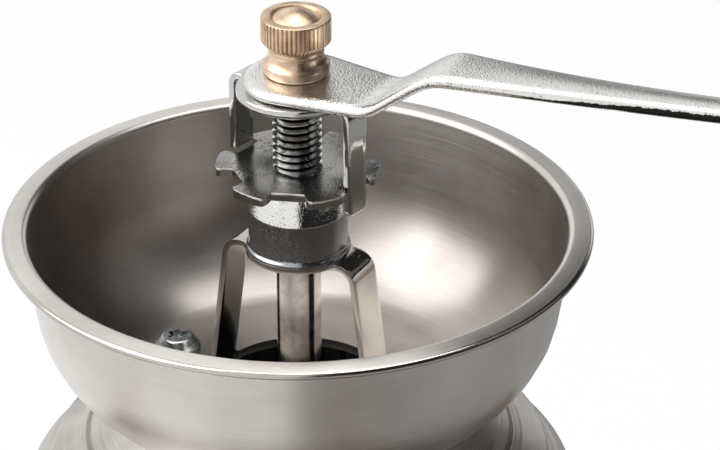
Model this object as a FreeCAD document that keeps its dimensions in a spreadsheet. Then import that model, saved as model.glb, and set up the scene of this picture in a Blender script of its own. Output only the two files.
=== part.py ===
import FreeCAD, Part
import math
import operator
import os
import Sketcher

# A hand crank coffee mill. An open bowl stands on a spun dome and a drawer box.
# A crank on a threaded shaft turns a cone burr inside a ring burr under the bowl's floor.
# Millimetres, Z up. The origin lies on the shaft's axis, on the surface that the mill stands on.
# The crank and the bridge's straps lie along X, and the drawer opens towards -Y.

SIZES = (
    # clearances
    ("running_gap", 0.05),          # radial play of a shaft in its bush
    ("seat_gap", 0.03),             # radial play of a piece seated on a shaft or in a bore
    ("screw_gap", 0.10),            # radial play of a screw in its hole
    ("face_gap", 0.10),             # play between faces that turn on each other
    ("leg_gap", 0.3),               # room round the bridge's legs where they pass the floor
    # wooden box
    ("felt_sheet", 2.0),
    ("felt_inset", 4.0),            # base edge to felt edge
    ("box_side", 106.0),
    ("base_overhang", 9.0),
    ("base_board", 9.0),            # thickness
    ("wall_board", 9.0),            # thickness
    ("wall_height", 56.0),
    ("rail_height", 12.0),          # rail over the drawer
    ("top_overhang", 6.0),
    ("top_board", 9.0),             # thickness
    ("drop_hole_radius", 27.0),     # hole for the ground coffee
    ("corner_round", 5.0),          # upright corners of the boards
    ("edge_round", 3.0),            # long edges of the boards
    ("wall_round", 2.0),            # outer upright edges of the walls
    # drawer
    ("drawer_gap", 0.3),
    ("drawer_front_board", 10.0),
    ("drawer_side_board", 6.0),
    ("drawer_bottom_board", 3.0),
    ("drawer_side_height", 34.0),
    ("drawer_back_room", 3.0),      # drawer back to rear wall
    ("drawer_front_round", 2.0),
    ("drawer_knob_radius", 8.5),
    ("drawer_knob_neck", 4.2),
    ("drawer_knob_length", 16.0),
    ("drawer_screw_radius", 1.75),
    ("drawer_screw_bite", 8.0),     # screw length in the knob
    # spun dome
    ("dome_height", 42.5),
    ("dome_sheet", 0.8),
    ("dome_flange_radius", 56.5),
    ("dome_foot_radius", 47.2),
    ("dome_foot_round", 1.8),
    ("dome_shoulder_radius", 45.6),
    ("dome_shoulder_drop", 17.4),   # drops are measured down from the dome's top
    ("dome_shoulder_round", 2.6),
    ("dome_groove_radius", 42.4),
    ("dome_groove_drop", 14.4),
    ("dome_crown_round", 16.0),
    ("dome_bead_radius", 35.4),
    ("dome_bead_drop", 8.2),
    ("dome_bead_height", 1.1),
    ("dome_bead_step", 0.7),
    ("dome_top_radius", 28.6),
    ("dome_screw_circle", 53.2),
    ("dome_screw_radius", 1.5),
    ("dome_screw_head", 2.7),
    ("dome_screw_length", 7.0),
    # hopper bowl
    ("rim_width", 3.15),            # outside of the wall to the rim's edge
    ("rim_height", 1.35),           # rolled rim, top to bottom
    ("rim_inner_round", 0.8),
    ("bowl_wall_radius", 43.4),     # outside of the wall at the widest part of its curve
    ("bowl_flare", 1.45),           # how much wider the wall is under the rim
    ("bowl_curve", 23.7),           # outer radius of the curve from wall to floor
    ("bowl_floor_radius", 28.1),    # where the curve meets the floor
    ("bowl_depth", 30.7),
    ("bowl_sheet", 0.8),
    ("throat_radius", 14.7),
    # bridge
    ("collar_radius", 8.1),
    ("collar_height", 10.0),        # straight part over the strap
    ("collar_cone_height", 2.5),
    ("collar_top_radius", 5.9),
    ("bridge_height", 26.4),        # bowl floor to the strap's top face
    ("bridge_eye_radius", 8.6),     # round middle of the strap
    ("strap_sheet", 1.0),
    ("strap_width", 7.0),
    ("strap_flow", 3.0),            # rounding between the round middle and the straps
    ("strap_shoulder", 12.3),       # axis to the outer face at the upper bend
    ("strap_spread", 15.6),         # axis to the outer face at the lower bend
    ("strap_bend", 1.2),            # inner radius of both bends
    ("strap_reach", 27.2),          # axis to the foot's round end
    ("bush_radius", 5.2),
    ("bowl_screw_circle", 24.0),
    ("bowl_screw_radius", 2.0),
    ("bowl_screw_head", 3.9),
    ("bowl_screw_head_height", 2.4),
    # shaft
    ("thread_radius", 4.0),
    ("rod_radius", 3.7),
    ("flat_half", 3.2),             # axis to each of the two flats that drive crank and burr
    ("shaft_end_dome", 1.6),
    ("pivot_radius", 2.5),
    ("pivot_length", 7.0),
    # adjusting wheel and its lock
    ("wheel_radius", 13.2),
    ("wheel_thickness", 2.0),
    ("notch_count", 6),
    ("notch_gap", 0.35),            # play between the lock's leg and the notch floor's ends
    ("notch_flare", 1.25),          # how much wider each notch side is at the wheel's edge
    ("tab_round", 1.3),
    ("lock_turn", -9.0),            # degrees from the crank to the lock's long leg
    ("lock_sheet", 1.4),
    ("lock_radius", 9.7),
    ("lock_reach", 12.3),           # axis to the outer face of the legs
    ("lock_bend", 0.9),             # inner radius of the bend
    ("lock_leg_width", 4.6),
    ("lock_height", 12.7),          # wheel's top to the lock's underside
    ("lock_long_leg", 5.0),         # how far the long leg reaches below the wheel's top
    ("lock_short_gap", 0.9),        # short leg's end to the wheel's top
    ("lock_end_round", 1.4),
    # crank
    ("hub_radius", 9.3),
    ("crank_thickness", 2.5),
    ("crank_bend_start", 15.7),     # axis to the corner of the low bend
    ("crank_bend_end", 25.8),       # axis to the corner of the high bend
    ("crank_rise", 7.7),            # low bend to high bend
    ("crank_low_bend", 5.0),
    ("crank_high_bend", 9.0),
    ("crank_tip_bend", 20.0),       # where the bar turns level at the eye
    ("crank_reach", 106.0),         # axis to the knob's pin
    ("crank_climb", 6.1),           # high bend to the knob's eye
    ("crank_hub_lean", 0.17),       # where the sides leave the hub's circle, as a share of its radius
    ("crank_tip_half", 3.1),        # half width at the knob's eye
    ("crank_eye_radius", 7.0),
    ("crank_flow", 8.0),            # rounding between bar and eye
    ("crank_edge_round", 0.9),
    # thumb nut
    ("nut_height", 9.4),
    ("nut_head_radius", 5.6),
    ("nut_head_height", 5.4),
    ("nut_neck_radius", 4.75),
    ("nut_flange_radius", 5.5),
    ("nut_flange_height", 0.7),
    ("knurl_count", 48),
    ("knurl_depth", 0.22),
    # knob
    ("knob_radius", 13.0),
    ("knob_height", 36.0),
    ("knob_foot_radius", 8.0),
    ("knob_top_radius", 10.0),
    ("pin_radius", 2.5),
    ("pin_head_radius", 5.0),
    ("pin_head_height", 2.0),
    ("knob_washer_radius", 6.5),
    ("knob_washer_height", 1.0),
    # burrs
    ("burr_flange_radius", 27.5),
    ("burr_flange_height", 4.0),
    ("ring_radius", 21.5),
    ("ring_height", 27.0),
    ("ring_bore_radius", 14.9),
    ("ring_tooth_count", 24),
    ("ring_tooth_depth", 1.1),
    ("ring_tooth_width", 2.0),
    ("cone_top_radius", 7.5),
    ("cone_bottom_radius", 14.0),
    ("cone_height", 20.0),
    ("cone_skirt", 3.0),            # straight part under the cone
    ("cone_tooth_count", 12),
    ("cone_tooth_depth", 1.6),
    ("cone_tooth_width", 2.4),
    ("guide_bar_height", 2.5),
    ("guide_bar_width", 9.0),
    ("guide_eye_radius", 7.5),
    ("guide_bush_radius", 4.2),
    ("guide_screw_circle", 18.4),
    ("guide_screw_radius", 1.5),
    ("guide_screw_head", 2.8),
    ("guide_screw_bite", 6.0),
    ("burr_nut_size", 5.0),         # half the width across flats
    ("burr_nut_height", 4.0),
    ("burr_washer_radius", 6.5),
    ("burr_washer_height", 1.2),
)

SIGNS = {"+": operator.add, "-": operator.sub, "*": operator.mul, "/": operator.truediv}
V = FreeCAD.Vector


class Size:
    """A length from the sheet, or one worked out from several: its formula and its number."""

    def __init__(self, formula, number):
        self.formula = formula
        self.number = number

    def __add__(self, other):
        return joined(self, "+", other)

    def __radd__(self, other):
        return joined(other, "+", self)

    def __sub__(self, other):
        return joined(self, "-", other)

    def __rsub__(self, other):
        return joined(other, "-", self)

    def __mul__(self, other):
        return joined(self, "*", other)

    def __rmul__(self, other):
        return joined(other, "*", self)

    def __truediv__(self, other):
        return joined(self, "/", other)

    def __neg__(self):
        return joined(0, "-", self)


def as_size(value):
    """Plain numbers become sizes without a cell."""
    if isinstance(value, Size):
        return value
    return Size(f"{value:g}", float(value))


def joined(left, sign, right):
    """Join two sizes, as a formula and as a number."""
    left, right = as_size(left), as_size(right)
    return Size(f"({left.formula} {sign} {right.formula})", SIGNS[sign](left.number, right.number))


def root(size):
    """Square root of a size."""
    return Size(f"sqrt({size.formula})", math.sqrt(size.number))


class Sheet:
    """The driving dimensions: a spreadsheet object, with each cell as an attribute."""

    def __init__(self, document, rows):
        cells = document.addObject("Spreadsheet::Sheet", "Dimensions")
        for line, (alias, value) in enumerate(rows, start=1):
            cells.set(f"A{line}", alias)
            cells.set(f"B{line}", str(value))
            cells.setAlias(f"B{line}", alias)
            setattr(self, alias, Size(f"Dimensions.{alias}", float(value)))
        document.recompute()


doc = FreeCAD.newDocument("CoffeeMill")
d = Sheet(doc, SIZES)
pieces = []


# Helpers that tie shapes to the sheet

def bind(thing, prop, value):
    """Tie one property of an object to a size."""
    size = as_size(value)
    thing.setExpression(prop, size.formula)


def place(thing, x=0, y=0, z=0):
    """Tie an object's position to sizes."""
    for axis, value in zip("xyz", (x, y, z)):
        bind(thing, f"Placement.Base.{axis}", value)


def keep(thing):
    """Count a finished object as one of the mill's pieces."""
    pieces.append(thing)
    return thing


def new_body(name):
    """An empty body with its own label."""
    body = doc.addObject("PartDesign::Body", name)
    body.Label = name
    return body


def origin_feature(body, role):
    """One of a body's own planes or axes."""
    return next(item for item in body.Origin.OriginFeatures if item.Role == role)


def new_sketch(body, plane, x=0, y=0, z=0):
    """A sketch on one of the body's planes, shifted in the sketch's own axes."""
    sketch = body.newObject("Sketcher::SketchObject", body.Label + "_outline")
    sketch.AttachmentSupport = [(origin_feature(body, plane), "")]
    sketch.MapMode = "FlatFace"
    for axis, value in zip("xyz", (x, y, z)):
        bind(sketch, f"AttachmentOffset.Base.{axis}", value)
    return sketch


def hold(sketch, kind, where, value):
    """Add one dimension to a sketch and tie it to a size."""
    size = as_size(value)
    index = sketch.addConstraint(Sketcher.Constraint(kind, *where, size.number))
    sketch.setExpression(f"Constraints[{index}]", size.formula)


def pin_point(sketch, geometry, end, x, y):
    """Fix one point of a sketch by its distances from the sketch's origin."""
    for kind, axis_line, value in (("DistanceX", -2, x), ("DistanceY", -1, y)):
        if as_size(value).number == 0:
            sketch.addConstraint(Sketcher.Constraint("PointOnObject", geometry, end, axis_line))
        else:
            hold(sketch, kind, (-1, 1, geometry, end), value)


def arc_between(start, end, radius, turn):
    """The short arc from start to end that turns left or right."""
    chord = end - start
    reach = math.sqrt(max(radius ** 2 - chord.Length ** 2 / 4, 0))
    left = V(-chord.y, chord.x, 0).normalize()
    side = 1 if turn == "left" else -1
    centre = (start + end) * 0.5 + left * (reach * side)
    first, last = (start, end) if turn == "left" else (end, start)
    angles = [math.atan2(point.y - centre.y, point.x - centre.x) for point in (first, last)]
    return Part.ArcOfCircle(Part.Circle(centre, V(0, 0, 1), radius), *angles)


def draw(sketch, corners):
    """Close an outline. A corner is (x, y), or (x, y, radius, turn) where an arc leaves it."""
    points = [V(as_size(corner[0]).number, as_size(corner[1]).number, 0) for corner in corners]
    starts, ends = [], []
    for index, corner in enumerate(corners):
        start, end = points[index], points[(index + 1) % len(points)]
        if len(corner) == 2:
            line = sketch.addGeometry(Part.LineSegment(start, end))
            starts.append((line, 1))
            ends.append((line, 2))
            continue
        radius, turn = as_size(corner[2]), corner[3]
        arc = sketch.addGeometry(arc_between(start, end, radius.number, turn))
        starts.append((arc, 1 if turn == "left" else 2))
        ends.append((arc, 2 if turn == "left" else 1))
        hold(sketch, "Radius", (arc,), radius)
    for index, corner in enumerate(corners):
        sketch.addConstraint(Sketcher.Constraint("Coincident", *ends[index - 1], *starts[index]))
        pin_point(sketch, *starts[index], corner[0], corner[1])


def rectangle(half_x, half_y):
    """Corners of a rectangle about the sketch's origin."""
    return [(-half_x, -half_y), (half_x, -half_y), (half_x, half_y), (-half_x, half_y)]


def circle(sketch, radius, x=0, y=0):
    """A circle in a sketch."""
    numbers = [as_size(value).number for value in (x, y, radius)]
    ring = sketch.addGeometry(Part.Circle(V(numbers[0], numbers[1], 0), V(0, 0, 1), numbers[2]))
    pin_point(sketch, ring, 3, x, y)
    hold(sketch, "Radius", (ring,), radius)


def pad(body, sketch, length, symmetric=False):
    """Raise a sketch into a solid."""
    feature = body.newObject("PartDesign::Pad", body.Label + "_pad")
    feature.Profile = sketch
    feature.SideType = "Symmetric" if symmetric else "One side"
    bind(feature, "Length", length)
    return feature


def pocket(body, sketch, length=None, upwards=False):
    """Cut a sketch through everything both ways, or to a depth from its plane."""
    feature = body.newObject("PartDesign::Pocket", body.Label + "_cut")
    feature.Profile = sketch
    if length is None:
        feature.Type = "ThroughAll"
        feature.SideType = "Symmetric"
        return feature
    feature.Reversed = upwards
    bind(feature, "Length", length)
    return feature


def turned(body, corners, plane="XZ_Plane", x=0):
    """Turn an outline about the upright axis at x."""
    sketch = new_sketch(body, plane, x=x)
    draw(sketch, corners)
    feature = body.newObject("PartDesign::Revolution", body.Label + "_turned")
    feature.Profile = sketch
    feature.ReferenceAxis = (sketch, ["V_Axis"])
    feature.Angle = 360
    return feature


def around(body, features, count):
    """Repeat features round the body's upright axis."""
    pattern = body.newObject("PartDesign::PolarPattern", body.Label + "_ring")
    pattern.Originals = features
    pattern.Axis = (origin_feature(body, "Z_Axis"), [""])
    pattern.Angle = 360
    bind(pattern, "Occurrences", count)
    body.Tip = pattern
    return pattern


def rounded(body, base, radius, wanted):
    """Round the edges of a feature that a test picks."""
    doc.recompute()
    names = [f"Edge{index}" for index, edge in enumerate(base.Shape.Edges, start=1) if wanted(edge)]
    feature = body.newObject("PartDesign::Fillet", body.Label + "_round")
    feature.Base = (base, names)
    bind(feature, "Radius", radius)
    return feature


def upright(edge):
    """True for a straight edge along Z."""
    box = edge.BoundBox
    return box.ZLength > 1e-6 and box.XLength < 1e-6 and box.YLength < 1e-6


def level_at(z):
    """A test for edges that lie in the level plane at a size."""
    height = as_size(z).number
    return lambda edge: abs(edge.BoundBox.ZMin - height) < 1e-4 and abs(edge.BoundBox.ZMax - height) < 1e-4


# Heights up the mill

base_z = d.felt_sheet
wall_z = base_z + d.base_board
under_deck_z = wall_z + d.wall_height
deck_z = under_deck_z + d.top_board
seat_z = deck_z + d.dome_height
floor_z = seat_z + d.bowl_sheet
strap_z = floor_z + d.bridge_height
collar_z = strap_z + d.collar_height + d.collar_cone_height
wheel_z = collar_z + d.face_gap
lock_z = wheel_z + d.wheel_thickness + d.lock_height
hub_z = lock_z + d.lock_sheet
nut_z = hub_z + d.crank_thickness
burr_z = seat_z - d.dome_sheet
guide_z = burr_z - d.burr_flange_height - d.ring_height
foot_z = burr_z - d.strap_sheet
bowl_height = d.bowl_sheet + d.bowl_depth
base_side = d.box_side + 2 * d.base_overhang
top_side = d.box_side + 2 * d.top_overhang


# Wooden box

def board(name, side, height):
    """A square board with rounded corners, its underside at zero."""
    body = new_body(name)
    sketch = new_sketch(body, "XY_Plane")
    draw(sketch, rectangle(side / 2, side / 2))
    slab = pad(body, sketch, height)
    corners = rounded(body, slab, d.corner_round, upright)
    return body, corners


def felt_pad():
    """Sheet of felt that the mill stands on."""
    return board("felt_pad", base_side - 2 * d.felt_inset, d.felt_sheet)[0]


def base_board():
    """Plinth with a rounded upper edge."""
    body, corners = board("base_board", base_side, d.base_board)
    rounded(body, corners, d.edge_round, level_at(d.base_board))
    place(body, z=base_z)
    return body


def dome_screw_holes(body, depth):
    """Four holes for the dome's screws, cut down from the body's top or right through."""
    half_circle = d.dome_screw_circle / math.sqrt(2)
    top = d.top_board if depth is not None else 0
    sketch = new_sketch(body, "XY_Plane", z=top)
    circle(sketch, d.dome_screw_radius + d.screw_gap, half_circle, half_circle)
    return around(body, [pocket(body, sketch, depth)], 4)


def top_board():
    """Upper board with the drop hole for the ground coffee."""
    body, corners = board("top_board", top_side, d.top_board)
    rounded(body, corners, d.edge_round,
            lambda edge: level_at(0)(edge) or level_at(d.top_board)(edge))
    sketch = new_sketch(body, "XY_Plane")
    circle(sketch, d.drop_hole_radius)
    pocket(body, sketch)
    dome_screw_holes(body, d.dome_screw_length)
    place(body, z=under_deck_z)
    return body


def side_wall(name, side):
    """One of the two walls that run from front to back."""
    body = new_body(name)
    sketch = new_sketch(body, "XY_Plane")
    draw(sketch, rectangle(d.wall_board / 2, d.box_side / 2))
    slab = pad(body, sketch, d.wall_height)
    rounded(body, slab, d.wall_round,
            lambda edge: upright(edge) and edge.CenterOfMass.x * side > 0)
    place(body, x=(d.box_side - d.wall_board) / 2 * side, z=wall_z)
    return body


def cross_board(name, height, y_side, z):
    """A board between the two side walls."""
    body = new_body(name)
    sketch = new_sketch(body, "XY_Plane")
    draw(sketch, rectangle(d.box_side / 2 - d.wall_board, d.wall_board / 2))
    pad(body, sketch, height)
    place(body, y=(d.box_side - d.wall_board) / 2 * y_side, z=z)
    return body


keep(felt_pad())
keep(base_board())
keep(side_wall("left_wall", -1))
keep(side_wall("right_wall", 1))
keep(cross_board("rear_wall", d.wall_height, 1, wall_z))
keep(cross_board("front_rail", d.rail_height, -1, under_deck_z - d.rail_height))
keep(top_board())


# Drawer

drawer_half = d.box_side / 2 - d.wall_board - d.drawer_gap
drawer_front_height = d.wall_height - d.rail_height - 2 * d.drawer_gap
drawer_z = wall_z + d.drawer_gap
drawer_inner_y = d.drawer_front_board - d.box_side / 2
drawer_back_y = d.box_side / 2 - d.wall_board - d.drawer_back_room
drawer_knob_z = drawer_front_height / 2


def drawer_front():
    """Front board with softened edges and the hole for the knob's screw."""
    body = new_body("drawer_front")
    sketch = new_sketch(body, "XZ_Plane")
    draw(sketch, [(-drawer_half, 0), (drawer_half, 0),
                  (drawer_half, drawer_front_height), (-drawer_half, drawer_front_height)])
    circle(sketch, d.drawer_screw_radius + d.screw_gap, 0, drawer_knob_z)
    slab = pad(body, sketch, d.drawer_front_board)
    face_y = -d.drawer_front_board.number
    rounded(body, slab, d.drawer_front_round,
            lambda edge: abs(edge.BoundBox.YMax - face_y) < 1e-4 and edge.Curve.TypeId == "Part::GeomLine")
    place(body, y=drawer_inner_y, z=drawer_z)
    return body


def drawer_panel(name, x_size, y_size, height, x, y, z):
    """A plain board of the drawer, given by its size and the middle of its underside."""
    body = new_body(name)
    sketch = new_sketch(body, "XY_Plane")
    draw(sketch, rectangle(x_size / 2, y_size / 2))
    pad(body, sketch, height)
    place(body, x, y, z)
    return body


def drawer_knob():
    """Turned knob on the drawer's front, its axis along -Y."""
    body = new_body("drawer_knob")
    neck = d.drawer_knob_neck
    head = d.drawer_knob_radius
    length = d.drawer_knob_length
    hole = d.drawer_screw_radius + d.screw_gap
    turned(body, [(hole, 0), (neck * 1.3, 0), (neck, length * 0.25), (neck, length * 0.4, head, "right"),
                  (head, length * 0.62), (head, length * 0.75, head, "left"), (head * 0.7, length),
                  (0, length), (0, d.drawer_screw_bite), (hole, d.drawer_screw_bite)])
    body.Placement = FreeCAD.Placement(V(0, 0, 0), FreeCAD.Rotation(V(1, 0, 0), 90))
    place(body, y=-d.box_side / 2, z=drawer_z + drawer_knob_z)
    return body


def drawer_knob_screw():
    """Pan head screw from inside the drawer into its knob."""
    body = new_body("drawer_knob_screw")
    shank = d.drawer_screw_radius
    length = d.drawer_front_board + d.drawer_screw_bite
    turned(body, pan_head(shank, shank * 2, shank * 1.2, length))
    body.Placement = FreeCAD.Placement(V(0, 0, 0), FreeCAD.Rotation(V(1, 0, 0), -90))
    place(body, y=drawer_inner_y, z=drawer_z + drawer_knob_z)
    return body


def pan_head(shank, head, height, length):
    """Half section of a pan head screw that hangs down from its seat at zero."""
    crown = height * 0.55
    return [(0, -length), (shank, -length), (shank, 0), (head, 0),
            (head, height - crown, crown, "left"), (head - crown, height), (0, height)]


drawer_depth = drawer_back_y - drawer_inner_y
drawer_mid_y = (drawer_back_y + drawer_inner_y) / 2
drawer_floor_z = drawer_z + d.drawer_bottom_board
drawer_side_x = drawer_half - d.drawer_side_board / 2

keep(drawer_front())
keep(drawer_panel("drawer_bottom", drawer_half * 2, drawer_depth, d.drawer_bottom_board,
                  0, drawer_mid_y, drawer_z))
for side_name, side in (("drawer_left_side", -1), ("drawer_right_side", 1)):
    keep(drawer_panel(side_name, d.drawer_side_board, drawer_depth, d.drawer_side_height,
                      drawer_side_x * side, drawer_mid_y, drawer_floor_z))
keep(drawer_panel("drawer_back", (drawer_half - d.drawer_side_board) * 2, d.drawer_side_board,
                  d.drawer_side_height, 0, drawer_back_y - d.drawer_side_board / 2, drawer_floor_z))
keep(drawer_knob())
keep(drawer_knob_screw())


# Spun dome and bowl

def dome_cover():
    """Stepped dome spun from sheet, with a flat flange below and a flat seat on top."""
    body = new_body("dome_cover")
    sheet = d.dome_sheet
    top = d.dome_height
    shoulder_z = top - d.dome_shoulder_drop
    groove_z = top - d.dome_groove_drop
    bead_z = top - d.dome_bead_drop
    foot = d.dome_foot_radius
    foot_round = d.dome_foot_round
    bead_top = d.dome_bead_radius - d.dome_bead_step
    hole = d.throat_radius
    outer = [(d.dome_flange_radius, 0), (d.dome_flange_radius, sheet),
             (foot + foot_round, sheet, foot_round, "right"), (foot, sheet + foot_round),
             (d.dome_shoulder_radius, shoulder_z, d.dome_shoulder_round, "left"),
             (d.dome_groove_radius, groove_z, d.dome_crown_round, "left"),
             (d.dome_bead_radius, bead_z), (d.dome_bead_radius, bead_z + d.dome_bead_height / 2),
             (bead_top, bead_z + d.dome_bead_height), (d.dome_top_radius, top), (hole, top)]
    inner = [(hole, top - sheet), (d.dome_top_radius - sheet / 2, top - sheet),
             (bead_top - sheet, bead_z + d.dome_bead_height - sheet / 2),
             (d.dome_bead_radius - sheet, bead_z - sheet),
             (d.dome_groove_radius - sheet, groove_z - sheet),
             (d.dome_shoulder_radius - sheet, shoulder_z),
             (foot - sheet, sheet + foot_round, foot_round + sheet, "left"), (foot + foot_round, 0)]
    turned(body, outer + inner)
    dome_screw_holes(body, None)
    bowl_screw_holes(body)
    leg_notches(body)
    place(body, z=deck_z)
    return body


def bowl_screw_holes(body):
    """Two holes for the bowl's screws, right through."""
    sketch = new_sketch(body, "XY_Plane")
    circle(sketch, d.bowl_screw_radius + d.screw_gap, d.bowl_screw_circle)
    return around(body, [pocket(body, sketch)], 2)


def leg_notches(body):
    """Widen the throat on both sides, so that the bridge's legs can pass."""
    sketch = new_sketch(body, "XY_Plane")
    draw(sketch, rectangle(d.strap_spread + d.strap_bend + d.leg_gap, d.strap_width / 2 + d.leg_gap))
    return pocket(body, sketch)


def screw_ring(name, circle_radius, shank, head, height, length, count, first_turn=0):
    """Pan head screws on a circle, as separate solids."""
    body = new_body(name)
    body.AllowCompound = True
    screw = turned(body, pan_head(shank, head, height, length), x=circle_radius)
    around(body, [screw], count)
    body.Placement = FreeCAD.Placement(V(0, 0, 0), FreeCAD.Rotation(V(0, 0, 1), first_turn))
    return body


def dome_screws():
    """Four small screws through the dome's flange."""
    body = screw_ring("dome_screws", d.dome_screw_circle, d.dome_screw_radius, d.dome_screw_head,
                      d.dome_screw_radius, d.dome_screw_length + d.dome_sheet - d.screw_gap, 4, 45)
    place(body, z=deck_z + d.dome_sheet)
    return body


def touch(x, z, radius):
    """Where a line from a point beside a circle touches its lower side, both from the circle's centre."""
    far = x * x + z * z
    along = radius * radius / far
    across = radius * root(far - radius * radius) / far
    return x * along + z * across, z * along - x * across


def hopper_bowl():
    """Open bowl: flat floor, one large curve, a leaning wall and a rolled rim."""
    body = new_body("hopper_bowl")
    sheet = d.bowl_sheet
    height = bowl_height
    curve = d.bowl_curve
    middle = d.bowl_wall_radius - curve
    floor = d.bowl_floor_radius
    middle_z = root(curve * curve - (floor - middle) * (floor - middle))
    mouth = d.bowl_wall_radius + d.bowl_flare
    rim = mouth + d.rim_width
    rim_z = height - d.rim_height
    lip = d.rim_inner_round
    roll = d.rim_height / 2
    inside = curve - sheet
    inner_floor = middle + root(inside * inside - (middle_z - sheet) * (middle_z - sheet))
    out_x, out_z = touch(mouth - middle, rim_z - middle_z, curve)
    in_x, in_z = touch(mouth - sheet - middle, height - lip - middle_z, inside)
    turned(body, [(d.throat_radius, 0), (floor, 0, curve, "left"), (middle + out_x, middle_z + out_z),
                  (mouth, rim_z), (rim - roll, rim_z, roll, "left"), (rim, height - roll, roll, "left"),
                  (rim - roll, height), (mouth - sheet + lip, height, lip, "left"),
                  (mouth - sheet, height - lip), (middle + in_x, middle_z + in_z, inside, "right"),
                  (inner_floor, sheet), (d.throat_radius, sheet)])
    bowl_screw_holes(body)
    leg_notches(body)
    place(body, z=seat_z)
    return body


# Bridge over the throat

def bearing_bridge():
    """Pressed strap on two splayed legs, with the collar that carries the shaft.

    The legs pass the throat's notches, and their feet are clamped under the dome's top.
    """
    body = new_body("bearing_bridge")
    sheet = d.strap_sheet
    top = strap_z - foot_z
    shoulder = d.strap_shoulder
    spread = d.strap_spread
    inner = d.strap_bend
    outer = inner + sheet
    eye = d.bridge_eye_radius
    profile = new_sketch(body, "XZ_Plane")
    draw(profile, [(0, top - sheet), (shoulder - outer, top - sheet, inner, "right"),
                   (shoulder - sheet, top - outer), (spread - sheet, outer, outer, "left"),
                   (spread - sheet + outer, 0), (d.strap_reach, 0), (d.strap_reach, sheet),
                   (spread + inner, sheet, inner, "right"), (spread, outer),
                   (shoulder, top - outer, outer, "left"), (shoulder - outer, top), (0, top)])
    around(body, [pad(body, profile, eye * 2, symmetric=True)], 2)
    trim = new_sketch(body, "XY_Plane")
    draw(trim, strap_outline())
    draw(trim, rectangle(d.strap_reach * 2, eye * 2))
    pocket(body, trim)
    bore = d.bush_radius + d.seat_gap
    cone_foot = top + d.collar_height
    turned(body, [(bore, top - sheet), (d.collar_radius, top - sheet), (d.collar_radius, cone_foot),
                  (d.collar_top_radius, cone_foot + d.collar_cone_height),
                  (bore, cone_foot + d.collar_cone_height)])
    hole = new_sketch(body, "XY_Plane")
    circle(hole, bore)
    pocket(body, hole)
    bowl_screw_holes(body)
    place(body, z=foot_z)
    return body


def strap_outline():
    """The strap seen from above: a round middle that flows into two straps with round ends."""
    eye = d.bridge_eye_radius
    flow = d.strap_flow
    half = d.strap_width / 2
    end_x = d.strap_reach - half
    flow_x = root((eye + flow) * (eye + flow) - (half + flow) * (half + flow))
    neck_x = flow_x * eye / (eye + flow)
    neck_y = (half + flow) * eye / (eye + flow)
    outline = []
    for side in (1, -1):
        outline += [(flow_x * side, -half * side), (end_x * side, -half * side, half, "left"),
                    (d.strap_reach * side, 0, half, "left"), (end_x * side, half * side),
                    (flow_x * side, half * side, flow, "right"), (neck_x * side, neck_y * side, eye, "left"),
                    (0, eye * side, eye, "left"), (-neck_x * side, neck_y * side, flow, "right")]
    return outline


def sleeve(name, inner, outer, height, x=0, y=0, z=0):
    """A plain ring: bush or washer."""
    body = new_body(name)
    sketch = new_sketch(body, "XY_Plane")
    circle(sketch, outer)
    circle(sketch, inner)
    pad(body, sketch, height)
    place(body, x, y, z)
    return body


def bowl_screws():
    """Two screws that clamp bowl, dome and the bridge's feet on the ring burr."""
    grip = d.bowl_sheet + d.dome_sheet + d.burr_flange_height
    body = screw_ring("bowl_screws", d.bowl_screw_circle, d.bowl_screw_radius, d.bowl_screw_head,
                      d.bowl_screw_head_height, grip, 2)
    place(body, z=floor_z)
    return body


keep(dome_cover())
keep(dome_screws())
keep(hopper_bowl())
keep(bearing_bridge())
keep(sleeve("bridge_bush", d.thread_radius + d.running_gap, d.bush_radius,
            collar_z - strap_z + d.strap_sheet, z=strap_z - d.strap_sheet))
keep(bowl_screws())


# Shaft and what it turns

cone_z = guide_z + d.guide_bar_height + d.burr_washer_height + d.burr_nut_height
cone_total = d.cone_height + d.cone_skirt
shaft_bottom_z = guide_z - d.guide_bar_height
shaft_top_z = nut_z + d.nut_height


def flats(body, z, length):
    """Cut two flats on a shaft, along Y, from a height upwards."""
    sketch = new_sketch(body, "XY_Plane", z=z)
    for side in (-1, 1):
        near = d.flat_half * side
        far = d.thread_radius * 2 * side
        reach = d.thread_radius * 2
        draw(sketch, [(-reach, near), (reach, near), (reach, far), (-reach, far)])
    return pocket(body, sketch, length, upwards=True)


def double_d(sketch, gap):
    """The outline of the shaft's flats with a gap all round, as a hole."""
    round_part = d.thread_radius + gap
    flat = d.flat_half + gap
    half_chord = root(round_part * round_part - flat * flat)
    draw(sketch, [(-half_chord, -flat), (half_chord, -flat, round_part, "left"),
                  (half_chord, flat), (-half_chord, flat, round_part, "left")])


def drive_shaft():
    """Pivot below, flats for the burr, plain rod, threaded journal and flats for the crank."""
    body = new_body("drive_shaft")
    journal = strap_z - d.strap_sheet - shaft_bottom_z
    seat = cone_z - shaft_bottom_z
    rod = d.rod_radius
    total = shaft_top_z - shaft_bottom_z
    crown = d.shaft_end_dome
    crown_radius = (d.thread_radius * d.thread_radius + crown * crown) / (2 * crown)
    turned(body, [(0, 0), (d.pivot_radius, 0), (d.pivot_radius, d.pivot_length),
                  (d.flat_half, d.pivot_length), (d.flat_half, seat), (rod, seat), (rod, journal),
                  (d.thread_radius, journal), (d.thread_radius, total - crown, crown_radius, "left"),
                  (0, total)])
    flats(body, seat, cone_total)
    flats(body, lock_z - shaft_bottom_z, shaft_top_z - lock_z)
    place(body, z=shaft_bottom_z)
    return body


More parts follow.
